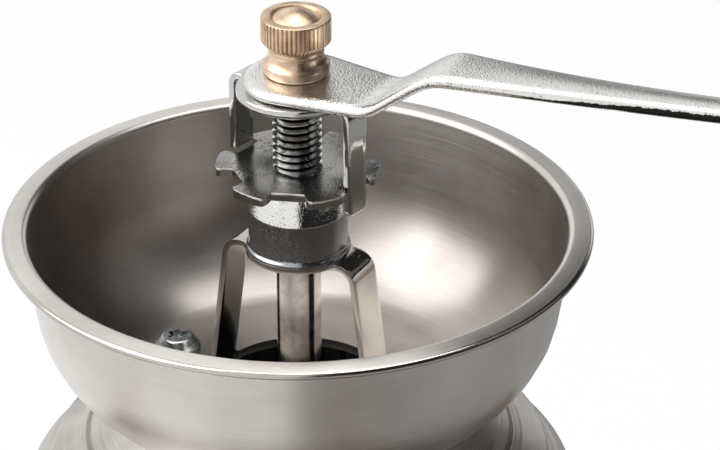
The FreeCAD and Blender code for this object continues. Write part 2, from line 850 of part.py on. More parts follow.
def adjusting_wheel():
    """Threaded wheel with notches for the lock's long leg."""
    body = new_body("adjusting_wheel")
    disc = new_sketch(body, "XY_Plane")
    circle(disc, d.wheel_radius)
    circle(disc, d.thread_radius + d.seat_gap)
    pad(body, disc, d.wheel_thickness)
    notch = new_sketch(body, "XY_Plane")
    floor_half = d.lock_leg_width / 2 + d.notch_gap
    floor_x = d.lock_reach - d.lock_sheet - d.notch_gap * 2
    edge_half = floor_half + d.notch_flare
    far_x = d.wheel_radius + d.notch_flare
    draw(notch, [(floor_x, -floor_half), (far_x, -edge_half), (far_x, edge_half), (floor_x, floor_half)])
    ring = around(body, [pocket(body, notch)], d.notch_count)
    inside = (floor_x.number + d.wheel_radius.number) / 2
    rounded(body, ring, d.tab_round,
            lambda edge: upright(edge) and math.hypot(edge.CenterOfMass.x, edge.CenterOfMass.y) > inside)
    turn_with_lock(body)
    place(body, z=wheel_z)
    return body


def turn_with_lock(thing, prop="Placement", way=1):
    """Turn a piece to the angle of the lock's long leg, or a sketch back from it."""
    angle = d.lock_turn * way
    setattr(thing, prop, FreeCAD.Placement(V(0, 0, 0), FreeCAD.Rotation(V(0, 0, 1), angle.number)))
    thing.setExpression(f"{prop}.Rotation.Angle", f"{angle.formula} * 1 deg")


def lock_bracket():
    """Sheet disc with a long leg in one of the wheel's notches and a short leg opposite."""
    body = new_body("lock_bracket")
    sheet = d.lock_sheet
    inner = d.lock_bend
    outer = inner + sheet
    reach = d.lock_reach
    disc = new_sketch(body, "XY_Plane")
    circle(disc, d.lock_radius)
    pad(body, disc, sheet)
    long_end = -d.lock_height - d.lock_long_leg
    short_end = d.lock_short_gap - d.lock_height
    for side, end, out_turn, in_turn in ((1, long_end, "left", "right"), (-1, short_end, "right", "left")):
        leg = new_sketch(body, "XZ_Plane")
        draw(leg, [(0, 0), ((reach - outer) * side, 0, inner, in_turn), ((reach - sheet) * side, -inner),
                   ((reach - sheet) * side, end), (reach * side, end),
                   (reach * side, -inner, outer, out_turn), ((reach - outer) * side, sheet), (0, sheet)])
        tip = pad(body, leg, d.lock_leg_width, symmetric=True)
    rounded(body, tip, d.lock_end_round, lambda edge: on_leg_end(edge, long_end.number))
    hole = new_sketch(body, "XY_Plane")
    turn_with_lock(hole, "AttachmentOffset", -1)
    double_d(hole, d.seat_gap)
    pocket(body, hole)
    turn_with_lock(body)
    place(body, z=lock_z)
    return body


def on_leg_end(edge, z):
    """True for the short edges across the sheet at a leg's end."""
    box = edge.BoundBox
    return abs(box.ZMin - z) < 1e-4 and box.ZLength < 1e-6 and box.YLength < 1e-6


def crank_arm():
    """Cast arm: flat hub, S bend and a long bar that narrows and climbs to the knob's eye."""
    body = new_body("crank_arm")
    thick = d.crank_thickness
    hub = d.hub_radius
    start = d.crank_bend_start
    end = d.crank_bend_end
    rise = d.crank_rise
    reach = d.crank_reach
    eye = d.crank_eye_radius
    climb = rise + d.crank_climb
    lean = thick * 0.36
    eye_start = reach - eye * 2
    ease = d.crank_tip_bend
    low_back, low_down, low_on = eased(d.crank_climb, eye_start - end - lean, ease)
    top_back, top_down, top_on = eased(d.crank_climb, eye_start - end, ease)
    profile = new_sketch(body, "XZ_Plane")
    draw(profile, [(-hub, 0), (start + lean, 0), (end + lean, rise),
                   (eye_start - low_back, climb - low_down, ease, "right"), (eye_start + low_on, climb),
                   (reach + eye, climb), (reach + eye, climb + thick),
                   (eye_start + top_on, climb + thick, ease, "left"),
                   (eye_start - top_back, climb + thick - top_down), (end, rise + thick),
                   (start, thick), (-hub, thick)])
    bar = pad(body, profile, hub * 4, symmetric=True)
    low_bend = rounded(body, bar, d.crank_low_bend, lambda edge: is_bend(edge, start, lean))
    rounded(body, low_bend, d.crank_high_bend, lambda edge: is_bend(edge, end, lean))
    trim = new_sketch(body, "XY_Plane")
    tip = d.crank_tip_half
    tip_x = reach - root(eye * eye - tip * tip)
    hub_x = hub * d.crank_hub_lean
    hub_y = root(hub * hub - hub_x * hub_x)
    along = (hub_x * tip_x + hub_y * tip) / hub
    side_curve = (hub * hub + tip_x * tip_x + tip * tip - 2 * hub * along) / (2 * (along - hub))
    draw(trim, [(hub_x, -hub_y, side_curve, "right"), (tip_x, -tip, eye, "left"),
                (reach + eye, 0, eye, "left"), (tip_x, tip, side_curve, "right"),
                (hub_x, hub_y, hub, "left"), (-hub, 0, hub, "left")])
    draw(trim, rectangle(reach * 2, hub * 4))
    cut = pocket(body, trim)
    flow = rounded(body, cut, d.crank_flow,
                   lambda edge: upright(edge) and abs(edge.CenterOfMass.x - tip_x.number) < 1e-3)
    rounded(body, flow, d.crank_edge_round, lambda edge: edge.BoundBox.XLength > 1e-6)
    hole = new_sketch(body, "XY_Plane")
    double_d(hole, d.seat_gap)
    pocket(body, hole)
    pin_hole = new_sketch(body, "XY_Plane")
    circle(pin_hole, d.pin_radius + d.seat_gap, reach)
    pocket(body, pin_hole)
    place(body, z=hub_z)
    return body


def eased(rise, run, radius):
    """Where an arc leaves a slope and meets the level line after it: back, down and on from their corner."""
    steep = rise / run
    long = root(1 + steep * steep)
    reach = radius * (long - 1) / steep
    return reach / long, reach * steep / long, reach


def is_bend(edge, x, lean):
    """True for the two edges across the bar at one of its bends."""
    box = edge.BoundBox
    across = box.YLength > 1 and box.XLength < 1e-6 and box.ZLength < 1e-6
    return across and -1e-3 < box.XMin - x.number < lean.number + 1e-3


keep(drive_shaft())
keep(adjusting_wheel())
keep(lock_bracket())
keep(crank_arm())


def thumb_nut():
    """Knurled nut with a necked foot and a recess round the shaft's end."""
    body = new_body("thumb_nut")
    height = d.nut_height
    head = d.nut_head_radius
    head_z = height - d.nut_head_height
    neck = d.nut_neck_radius
    bore = d.thread_radius + d.running_gap
    flange = d.nut_flange_radius
    flange_z = d.nut_flange_height
    bevel = head - neck
    turned(body, [(bore, 0), (flange, 0), (flange, flange_z, flange_z * 4, "right"),
                  (neck, flange_z + bevel * 1.6), (neck, head_z), (head, head_z + bevel),
                  (head, height - bevel * 0.6), (head - bevel * 0.6, height), (bore, height)])
    groove = new_sketch(body, "XY_Plane", z=head_z)
    half = d.knurl_depth
    draw(groove, [(head - d.knurl_depth, 0), (head + half, -half * 2), (head + half, half * 2)])
    around(body, [pocket(body, groove, d.nut_head_height, upwards=True)], d.knurl_count)
    place(body, z=nut_z)
    return body


def crank_knob():
    """Turned grip with a waist under a round head, bored for its pin."""
    body = new_body("crank_knob")
    foot = d.knob_foot_radius
    wide = d.knob_radius
    top = d.knob_top_radius
    height = d.knob_height
    bore = d.pin_radius + d.running_gap
    sink = d.pin_head_height + d.face_gap * 3
    head = d.pin_head_radius + d.face_gap * 3
    turned(body, [(bore, 0), (foot, 0, foot, "left"), (foot, height * 0.14, wide * 1.6, "right"),
                  (wide, height * 0.62, wide * 0.62, "left"), (top * 0.9, height * 0.96, top, "left"),
                  (top * 0.6, height), (head, height), (head, height - sink), (bore, height - sink)])
    return body


def knob_pin():
    """Riveted pin: foot under the arm, shank through the knob, round head in the knob's top."""
    body = new_body("knob_pin")
    shank = d.pin_radius
    head = d.pin_head_radius
    foot_height = d.pin_head_height / 2
    under_head = pin_seat + d.knob_height - d.pin_head_height - d.face_gap * 2
    foot = shank + foot_height
    turned(body, [(0, -foot_height), (foot, -foot_height), (foot, 0), (shank, 0), (shank, under_head),
                  (head, under_head), (head, under_head + d.pin_head_height / 2),
                  (head * 0.6, under_head + d.pin_head_height), (0, under_head + d.pin_head_height)])
    return body


pin_seat = d.crank_thickness + d.knob_washer_height + d.face_gap * 2
eye_z = hub_z + d.crank_rise + d.crank_climb
keep(thumb_nut())
knob = keep(crank_knob())
place(knob, x=d.crank_reach, z=eye_z + pin_seat)
pin = keep(knob_pin())
place(pin, x=d.crank_reach, z=eye_z)
keep(sleeve("knob_washer", d.pin_radius + d.seat_gap, d.knob_washer_radius, d.knob_washer_height,
            x=d.crank_reach, z=eye_z + d.crank_thickness))


# Burrs under the bowl's floor

def outer_ring_burr():
    """Cast ring with upright teeth in its bore, and a flange with a slot for the bridge's feet."""
    body = new_body("outer_ring_burr")
    flange_z = d.ring_height
    top = d.ring_height + d.burr_flange_height
    turned(body, [(d.ring_bore_radius, 0), (d.ring_radius, 0), (d.ring_radius, flange_z),
                  (d.burr_flange_radius, flange_z), (d.burr_flange_radius, top), (d.ring_bore_radius, top)])
    groove = new_sketch(body, "XY_Plane")
    half = d.ring_tooth_width / 2
    bore = d.ring_bore_radius
    draw(groove, [(bore - half, -half), (bore + d.ring_tooth_depth, 0), (bore - half, half)])
    around(body, [pocket(body, groove)], d.ring_tooth_count)
    bowl_screw_holes(body)
    slot = new_sketch(body, "XY_Plane", z=top)
    draw(slot, rectangle(d.burr_flange_radius * 2, d.strap_width / 2 + d.leg_gap))
    pocket(body, slot, d.strap_sheet)
    screws = new_sketch(body, "XY_Plane")
    circle(screws, d.guide_screw_radius + d.screw_gap, 0, d.guide_screw_circle)
    around(body, [pocket(body, screws, d.guide_screw_bite, upwards=True)], 2)
    place(body, z=guide_z)
    return body


def inner_cone_burr():
    """Toothed cone on the shaft's flats."""
    body = new_body("inner_cone_burr")
    skirt = d.cone_skirt
    top = cone_total
    turned(body, [(0, 0), (d.cone_bottom_radius, 0), (d.cone_bottom_radius, skirt),
                  (d.cone_top_radius, top), (0, top)])
    profile = new_sketch(body, "XZ_Plane")
    depth = d.cone_tooth_depth
    draw(profile, [(d.cone_bottom_radius - depth, 0), (d.cone_bottom_radius + depth, 0),
                   (d.cone_bottom_radius + depth, skirt), (d.cone_top_radius + depth, top),
                   (d.cone_top_radius - depth, top), (d.cone_bottom_radius - depth, skirt)])
    cut = body.newObject("PartDesign::Pocket", "inner_cone_burr_tooth")
    cut.Profile = profile
    cut.SideType = "Symmetric"
    bind(cut, "Length", d.cone_tooth_width)
    around(body, [cut], d.cone_tooth_count)
    hole = new_sketch(body, "XY_Plane")
    double_d(hole, d.seat_gap)
    pocket(body, hole)
    place(body, z=cone_z)
    return body


def lower_guide_bar():
    """Flat bar across the ring burr's lower end, with an eye for the shaft's bush."""
    body = new_body("lower_guide_bar")
    half = d.guide_bar_width / 2
    eye = d.guide_eye_radius
    neck = root(eye * eye - half * half)
    reach = root(d.ring_radius * d.ring_radius - half * half)
    sketch = new_sketch(body, "XY_Plane")
    draw(sketch, [(half, -reach), (half, -neck, eye, "left"), (eye, 0, eye, "left"), (half, neck),
                  (half, reach), (-half, reach), (-half, neck, eye, "left"), (-eye, 0, eye, "left"),
                  (-half, -neck), (-half, -reach)])
    circle(sketch, d.guide_bush_radius + d.seat_gap)
    for side in (-1, 1):
        circle(sketch, d.guide_screw_radius + d.screw_gap, 0, d.guide_screw_circle * side)
    pad(body, sketch, d.guide_bar_height)
    place(body, z=guide_z - d.guide_bar_height)
    return body


def guide_screws():
    """Two screws that hold the guide bar up against the ring burr."""
    body = screw_ring("guide_screws", d.guide_screw_circle, d.guide_screw_radius, d.guide_screw_head,
                      d.guide_screw_radius, d.guide_bar_height + d.guide_screw_bite - d.screw_gap, 2)
    body.Placement = FreeCAD.Placement(V(0, 0, 0), FreeCAD.Rotation(90, 0, 180))
    place(body, z=guide_z - d.guide_bar_height)
    return body


def burr_nut():
    """Hexagon nut that holds the cone up on the shaft."""
    body = new_body("burr_nut")
    sketch = new_sketch(body, "XY_Plane")
    half_side = d.burr_nut_size / math.sqrt(3)
    size = d.burr_nut_size
    draw(sketch, [(half_side * 2, 0), (half_side, size), (-half_side, size), (-half_side * 2, 0),
                  (-half_side, -size), (half_side, -size)])
    circle(sketch, d.flat_half + d.seat_gap)
    pad(body, sketch, d.burr_nut_height)
    place(body, z=cone_z - d.burr_washer_height - d.burr_nut_height)
    return body


keep(outer_ring_burr())
keep(inner_cone_burr())
keep(sleeve("burr_washer", d.flat_half + d.seat_gap, d.burr_washer_radius, d.burr_washer_height,
            z=cone_z - d.burr_washer_height))
keep(burr_nut())
keep(lower_guide_bar())
keep(sleeve("guide_bush", d.pivot_radius + d.running_gap, d.guide_bush_radius, d.guide_bar_height,
            z=guide_z - d.guide_bar_height))
keep(guide_screws())


# Check everything, then write one file for each piece

doc.recompute()
failed = [item.Label for item in doc.Objects if {"Invalid", "Error"} & set(item.State)]
if failed:
    raise SystemExit("failed objects: " + ", ".join(failed))
broken = [piece.Label for piece in pieces if piece.Shape.isNull() or not piece.Shape.isValid()]
if broken:
    raise SystemExit("broken shapes: " + ", ".join(broken))
os.makedirs("parts", exist_ok=True)
for piece in pieces:
    piece.Shape.exportStep(f"parts/{piece.Label}.step")
    box = piece.Shape.BoundBox
    print(f"{piece.Label}: {len(piece.Shape.Solids)} solid, {piece.Shape.Volume:.1f} mm3, "
          f"z {box.ZMin:.2f} to {box.ZMax:.2f}")
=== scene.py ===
import logging
import math
from collections.abc import Callable, Sequence
from dataclasses import dataclass
from enum import Enum

import bmesh
import bpy
from mathutils import Matrix, Vector


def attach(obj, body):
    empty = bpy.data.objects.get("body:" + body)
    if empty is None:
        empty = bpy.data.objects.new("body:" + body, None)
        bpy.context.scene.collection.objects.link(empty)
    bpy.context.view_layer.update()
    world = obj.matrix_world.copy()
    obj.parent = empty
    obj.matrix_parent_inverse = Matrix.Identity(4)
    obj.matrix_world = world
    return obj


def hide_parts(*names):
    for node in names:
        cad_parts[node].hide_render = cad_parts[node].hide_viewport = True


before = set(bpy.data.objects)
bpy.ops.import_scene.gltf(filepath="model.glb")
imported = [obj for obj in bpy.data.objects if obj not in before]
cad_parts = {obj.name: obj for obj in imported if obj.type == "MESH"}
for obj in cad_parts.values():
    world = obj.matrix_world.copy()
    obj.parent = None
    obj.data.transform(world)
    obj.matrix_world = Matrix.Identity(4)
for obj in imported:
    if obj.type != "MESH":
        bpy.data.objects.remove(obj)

# Looks of a hand crank coffee mill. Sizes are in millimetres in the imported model's own frame:
# the shaft's axis is Z, the crank lies along X, and the drawer opens towards -Y.

MM = 0.001
TURN = 2 * math.pi
LOG = logging.getLogger("coffee_mill")

# Points closer than SAME are one point, edges closer to a plane than LEVEL lie in it, and vertices closer
# than MERGE become one. BOTH are the two sides of an axis.
SAME = 0.004
LEVEL = 0.01
MERGE = 0.001
BOTH = (1, -1)

# A slanting way along which no two vertices of a cut piece come level, so that they can be put in order
ORDER = Vector((1.0, 0.317, 0.0713))

# Sockets that go by their number: a Mix node's two colours and a Map Range node's two ranges
COLOUR_A, COLOUR_B = 6, 7
FROM_LOW, FROM_HIGH, TO_LOW, TO_HIGH = 1, 2, 3, 4

Point = Sequence[float]
Corner = Sequence[float]
Pair = tuple[float, float]
Trio = tuple[float, float, float]
Piece = bpy.types.Object
Tree = bpy.types.NodeTree
Node = bpy.types.Node
Socket = bpy.types.NodeSocket
FaceTest = Callable[[Vector, Vector], bool]


class Pick(Enum):
    """What a selection is made of, by its name in a mesh."""

    VERT = "verts"
    EDGE = "edges"


class Grain(Enum):
    """The way that a board's grain runs, as the share of each axis in its pattern."""

    ALONG_X = (0.06, 1.0, 1.0)
    ALONG_Y = (1.0, 0.06, 1.0)
    ALONG_Z = (1.0, 1.0, 0.06)


# Modelling steps

def leave_all() -> None:
    """Leave edit mode and deselect every object."""
    if bpy.context.mode != "OBJECT":
        bpy.ops.object.mode_set(mode="OBJECT")
    bpy.ops.object.select_all(action="DESELECT")


def hold(piece: Piece) -> None:
    """Make a piece the active object and the only selected one.

    Args:
        piece: The piece.
    """
    leave_all()
    piece.select_set(True)
    bpy.context.view_layer.objects.active = piece


def name_new(name: str) -> Piece:
    """Name the primitive that was just added, and open it in edit mode.

    Args:
        name: Name of the piece and its mesh.

    Returns:
        The new object, all of it selected.
    """
    piece = bpy.context.object
    piece.name = name
    piece.data.name = name
    bpy.ops.object.mode_set(mode="EDIT")
    bpy.ops.mesh.select_mode(type="VERT")
    bpy.ops.mesh.select_all(action="SELECT")
    return piece


def pick(kind: Pick, test: Callable[[Vector], bool]) -> None:
    """Select what a test on its middle, in millimetres, lets through.

    Args:
        kind: Vertices or edges.
        test: Says whether a middle belongs to the selection.
    """
    bpy.ops.mesh.select_mode(type=kind.name)
    bpy.ops.mesh.select_all(action="DESELECT")
    data = bpy.context.object.data
    mesh = bmesh.from_edit_mesh(data)
    for item in getattr(mesh, kind.value):
        corners = [item] if kind is Pick.VERT else item.verts
        middle = sum((corner.co for corner in corners), Vector()) / len(corners)
        if test(middle / MM):
            item.select_set(True)
    mesh.select_flush_mode()
    bmesh.update_edit_mesh(data)


def drawn(name: str, points: Sequence[Point], closed: bool = True) -> Piece:
    """Draw an outline from one vertex: a small plane with its corners merged.

    Args:
        name: Name of the piece.
        points: The outline's points in order.
        closed: Whether an edge joins the last point to the first.

    Returns:
        The outline in edit mode.
    """
    leave_all()
    bpy.ops.mesh.primitive_plane_add(size=MM, location=(0, 0, 0))
    piece = name_new(name)
    bpy.ops.mesh.merge(type="CENTER")
    bpy.ops.transform.translate(value=Vector(points[0]) * MM)
    for here, there in zip(points, points[1:]):
        step = (Vector(there) - Vector(here)) * MM
        bpy.ops.mesh.extrude_vertices_move(TRANSFORM_OT_translate={"value": step})
    if closed:
        ends = [Vector(points[0]), Vector(points[-1])]
        pick(Pick.VERT, lambda at: any((at - end).length < SAME for end in ends))
        bpy.ops.mesh.edge_face_add()
    return piece


def ease(point: Point, length: float, segments: int = 6) -> None:
    """Round the vertex at a point.

    Args:
        point: Where the vertex stands.
        length: How far along its edges the rounding starts.
        segments: Pieces of the rounding.
    """
    corner = Vector(point)
    pick(Pick.VERT, lambda at: (at - corner).length < SAME)
    bpy.ops.mesh.bevel(offset=length * MM, segments=segments, affect="VERTICES", clamp_overlap=False)


def round_edges(width: float, segments: int) -> None:
    """Bevel the selected edges."""
    bpy.ops.mesh.bevel(offset=width * MM, segments=segments, affect="EDGES")


def close_up() -> None:
    """Merge what coincides and turn all faces outwards."""
    bpy.ops.mesh.select_mode(type="VERT")
    bpy.ops.mesh.select_all(action="SELECT")
    bpy.ops.mesh.remove_doubles(threshold=MERGE * MM)
    bpy.ops.mesh.normals_make_consistent(inside=False)


def cap_ends() -> None:
    """Fill the open ends of a tube and close it up."""
    bpy.ops.mesh.select_mode(type="EDGE")
    bpy.ops.mesh.select_all(action="DESELECT")
    bpy.ops.mesh.select_non_manifold()
    bpy.ops.mesh.fill_holes(sides=0)
    close_up()


def copy_round(count: int) -> None:
    """Copy the whole mesh round the shaft's axis and close it up.

    Args:
        count: How many there are in the end.
    """
    bpy.ops.mesh.select_all(action="SELECT")
    bpy.ops.mesh.spin(steps=count, dupli=True, angle=TURN, center=(0, 0, 0), axis=(0, 0, 1))
    close_up()


def turned(name: str, outline: Sequence[Corner], steps: int = 96, x: float = 0.0) -> Piece:
    """Spin a half section about an upright axis.

    Args:
        name: Name of the piece.
        outline: Corners (radius, height), or (radius, height, rounding). It closes itself unless it
            starts on the axis.
        steps: Faces round the piece.
        x: Where the axis stands.

    Returns:
        The turned piece in edit mode.
    """
    points = [(x + corner[0], 0.0, corner[1]) for corner in outline]
    piece = drawn(name, points, closed=outline[0][0] > 0)
    for corner, point in zip(outline, points):
        if len(corner) > 2:
            ease(point, corner[2])
    bpy.ops.mesh.select_all(action="SELECT")
    bpy.ops.mesh.spin(steps=steps, angle=TURN, center=(x * MM, 0, 0), axis=(0, 0, 1))
    close_up()
    bpy.ops.mesh.delete_loose()
    return piece


def shape_with(piece: Piece, kind: str, **settings: object) -> None:
    """Add a modifier to a piece and apply it.

    Args:
        piece: The piece.
        kind: Type of modifier.
        **settings: Its values.
    """
    hold(piece)
    modifier = piece.modifiers.new(kind.title(), kind)
    for key, value in settings.items():
        setattr(modifier, key, value)
    bpy.ops.object.modifier_apply(modifier=modifier.name)


def soften(piece: Piece, width: float, segments: int = 3, angle: float = 40.0) -> None:
    """Bevel a piece's sharp edges.

    Args:
        piece: The piece.
        width: Width of the bevel.
        segments: Faces across it.
        angle: Edges sharper than this, in degrees, are bevelled.
    """
    shape_with(piece, "BEVEL", width=width * MM, segments=segments, limit_method="ANGLE",
               angle_limit=math.radians(angle), use_clamp_overlap=True)


def joined(first: Piece, *others: Piece) -> Piece:
    """Join shells.

    Args:
        first: The shell that takes up the others.
        *others: The others.

    Returns:
        The first shell.
    """
    hold(first)
    for shell in others:
        shell.select_set(True)
    bpy.ops.object.join()
    return first


def cut_away(piece: Piece, cutter: Piece) -> None:
    """Cut one piece's space out of another, and put the vertices in an order that is the same each run.

    Args:
        piece: The piece that is cut. It ends up in edit mode.
        cutter: The piece that cuts, which is thrown away.
    """
    shape_with(piece, "BOOLEAN", operation="DIFFERENCE", object=cutter, solver="EXACT")
    bpy.data.objects.remove(cutter)
    bpy.ops.object.mode_set(mode="EDIT")
    mesh = bmesh.from_edit_mesh(piece.data)
    mesh.verts.sort(key=lambda vert: vert.co.dot(ORDER))
    bmesh.update_edit_mesh(piece.data)


def flatten_x(x: float) -> None:
    """Scale the selection flat onto the plane at x."""
    bpy.ops.transform.resize(value=(0, 1, 1), center_override=(x * MM, 0, 0))


def draw_in(share: float, x: float = 0.0) -> None:
    """Scale the selection towards an upright axis at x."""
    bpy.ops.transform.resize(value=(share, share, 1), center_override=(x * MM, 0, 0))


def pull_edge(x: float = 0.0, z: float = 0.0) -> None:
    """Extrude the selected edges along X and Z."""
    bpy.ops.mesh.extrude_edges_move(TRANSFORM_OT_translate={"value": (x * MM, 0, z * MM)})


def bend_edge(degrees: float, centre: Point, steps: int = 8) -> None:
    """Spin the selected edges about a line along Y.

    Args:
        degrees: How far the sheet bends.
        centre: x and z of the bend's axis.
        steps: Faces round the bend.
    """
    bpy.ops.mesh.spin(steps=steps, angle=-math.radians(degrees),
                      center=(centre[0] * MM, 0, centre[1] * MM), axis=(0, 1, 0))


def flat_ring(name: str, facets: int, radius: float, hole: float, level: float) -> Piece:
    """Start a sheet from a circle that is drawn in to its hole.

    Args:
        name: Name of the piece.
        facets: Edges round it.
        radius: Its outer radius.
        hole: Its inner radius.
        level: Height of its upper face.

    Returns:
        The ring in edit mode.
    """
    leave_all()
    bpy.ops.mesh.primitive_circle_add(vertices=facets, radius=radius * MM, location=(0, 0, 0))
    piece = name_new(name)
    bpy.ops.transform.translate(value=(0, 0, level * MM))
    pick(Pick.EDGE, lambda at: True)
    pull_edge()
    draw_in(hole / radius)
    return piece


def pull_tab(side: int, half: float, radius: float, reach: float) -> None:
    """Pull a straight tab out of a ring.

    Args:
        side: 1 towards +X, -1 towards -X.
        half: Half the tab's width.
        radius: The ring's outer radius.
        reach: How far from the axis the tab ends.
    """
    pick(Pick.EDGE, lambda at: at.x * side > 0 and abs(at.y) < half and at.xy.length > radius * 0.97)
    pull_edge(x=side)
    flatten_x(reach * side)


def thicken(piece: Piece, sheet: float, edge: float) -> None:
    """Turn a bent sheet's highest face up, thicken the sheet downwards and soften its edges.

    Args:
        piece: The sheet, in edit mode.
        sheet: Its thickness.
        edge: Width of the bevel on its edges.
    """
    close_up()
    mesh = bmesh.from_edit_mesh(piece.data)
    top = max(mesh.faces, key=lambda face: face.calc_center_median().z)
    if top.normal.z < 0:
        bpy.ops.mesh.flip_normals()
    shape_with(piece, "SOLIDIFY", thickness=sheet * MM, offset=-1.0, use_even_offset=True)
    soften(piece, edge)


def settle(piece: Piece, turn: Point, place: Point = (0, 0, 0)) -> None:
    """Turn and move a piece, and put both into its mesh.

    Args:
        piece: The piece.
        turn: Degrees about X, Y and Z.
        place: Where its origin goes.
    """
    piece.rotation_euler = [math.radians(degrees) for degrees in turn]
    piece.location = Vector(place) * MM
    hold(piece)
    bpy.ops.object.transform_apply(location=True, rotation=True, scale=True)


def block(name: str, low: Point, high: Point) -> Piece:
    """Start a board from a cube.

    Args:
        name: Name of the piece.
        low: Its lowest corner.
        high: Its highest corner.

    Returns:
        The block in edit mode.
    """
    leave_all()
    bpy.ops.mesh.primitive_cube_add(size=MM, location=(0, 0, 0))
    piece = name_new(name)
    bpy.ops.transform.resize(value=Vector(high) - Vector(low), center_override=(0, 0, 0))
    bpy.ops.transform.translate(value=(Vector(high) + Vector(low)) * 0.5 * MM)
    return piece


def hand_over(piece: Piece, finish: "Finish", body: str, *nodes: str, angle: float = 32.0) -> None:
    """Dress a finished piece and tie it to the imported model.

    Args:
        piece: The piece.
        finish: What it is made of.
        body: The body that it rides on.
        *nodes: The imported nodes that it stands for.
        angle: Edges flatter than this, in degrees, are shaded smooth.
    """
    hold(piece)
    bpy.ops.object.shade_smooth_by_angle(angle=math.radians(angle))
    if not piece.data.materials:
        piece.data.materials.append(finish.material())
    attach(piece, body)
    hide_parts(*nodes)
    LOG.info("%s rides on %s and stands for %s", piece.name, body, ", ".join(nodes))


def finish_apart(piece: Piece, finish: "Finish", *others: tuple["Finish", FaceTest]) -> None:
    """Give a piece several finishes.

    Args:
        piece: The active piece, which has no material yet.
        finish: Finish of most faces.
        *others: Each other finish, with a test that says by a face's middle in millimetres and its
            normal whether the face has it.
    """
    piece.data.materials.append(finish.material())
    for number, (other, test) in enumerate(others, start=1):
        piece.data.materials.append(other.material())
        bpy.ops.object.mode_set(mode="EDIT")
        bpy.ops.mesh.select_mode(type="FACE")
        bpy.ops.mesh.select_all(action="DESELECT")
        mesh = bmesh.from_edit_mesh(piece.data)
        for face in mesh.faces:
            face.select_set(test(face.calc_center_median() / MM, face.normal))
        bmesh.update_edit_mesh(piece.data)
        piece.active_material_index = number
        bpy.ops.object.material_slot_assign()


def dress(finish: "Finish", *nodes: str) -> None:
    """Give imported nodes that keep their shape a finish.

    Args:
        finish: What they are made of.
        *nodes: Their names.
    """
    for node in nodes:
        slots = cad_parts[node].data.materials
        slots.clear()
        slots.append(finish.material())
        LOG.info("%s keeps its packed shape", node)


# Finishes

def linear(code: str) -> tuple[float, float, float, float]:
    """Turn an sRGB hex colour into linear numbers.

    Args:
        code: The colour as #rrggbb.

    Returns:
        Red, green, blue and an alpha of 1.
    """
    shares = [int(code[at:at + 2], 16) / 255 for at in (1, 3, 5)]
    curve = [share / 12.92 if share <= 0.04045 else ((share + 0.055) / 1.055) ** 2.4 for share in shares]
    return (*curve, 1.0)


def fit(node: Node, settings: dict | None = None, links: dict | None = None) -> Node:
    """Give a node its settings and links.

    Args:
        node: The node.
        settings: Values of its properties, or of its sockets by name or number. Stops are the
            positions and hex colours of a colour ramp.
        links: What goes into its sockets, by name or number: an output, or a node whose first
            output in use is taken.

    Returns:
        The same node.
    """
    for key, value in (settings or {}).items():
        if key == "stops":
            for element, (position, code) in zip(node.color_ramp.elements, value):
                element.position = position
                element.color = linear(code)
        elif isinstance(key, str) and hasattr(node, key):
            setattr(node, key, value)
        else:
            node.inputs[key].default_value = value
    for key, source in (links or {}).items():
        if isinstance(source, Node):
            source = next(socket for socket in source.outputs if socket.enabled)
        node.id_data.links.new(source, node.inputs[key])
    return node


def add(tree: Tree, kind: str, settings: dict | None = None, links: dict | None = None) -> Node:
    """Add a node.

    Args:
        tree: The tree that it goes into.
        kind: Its type, without the words that all shader nodes start with.
        settings: As in fit.
        links: As in fit.

    Returns:
        The new node.
    """
    return fit(tree.nodes.new("ShaderNode" + kind), settings, links)


@dataclass(frozen=True)
class Finish:
    """A material: its name, the record's slot for it and the nodes that paint it."""

    name: str
    slot: str

    def material(self) -> bpy.types.Material:
        """Make the material, or find the one that was made before.

        Returns:
            The material.
        """
        made = bpy.data.materials.get(self.name)
        if not made:
            made = bpy.data.materials.new(self.name)
            made.use_nodes = True
            tree = made.node_tree
            place = add(tree, "TexCoord").outputs["Object"]
            self.paint(tree, tree.nodes["Principled BSDF"], place)
        return made

    def paint(self, tree: Tree, shader: Node, place: Socket) -> None:
        """Add the nodes of the finish.

        Args:
            tree: The material's nodes.
            shader: Its shader.
            place: Object coordinates.
        """
        raise NotImplementedError


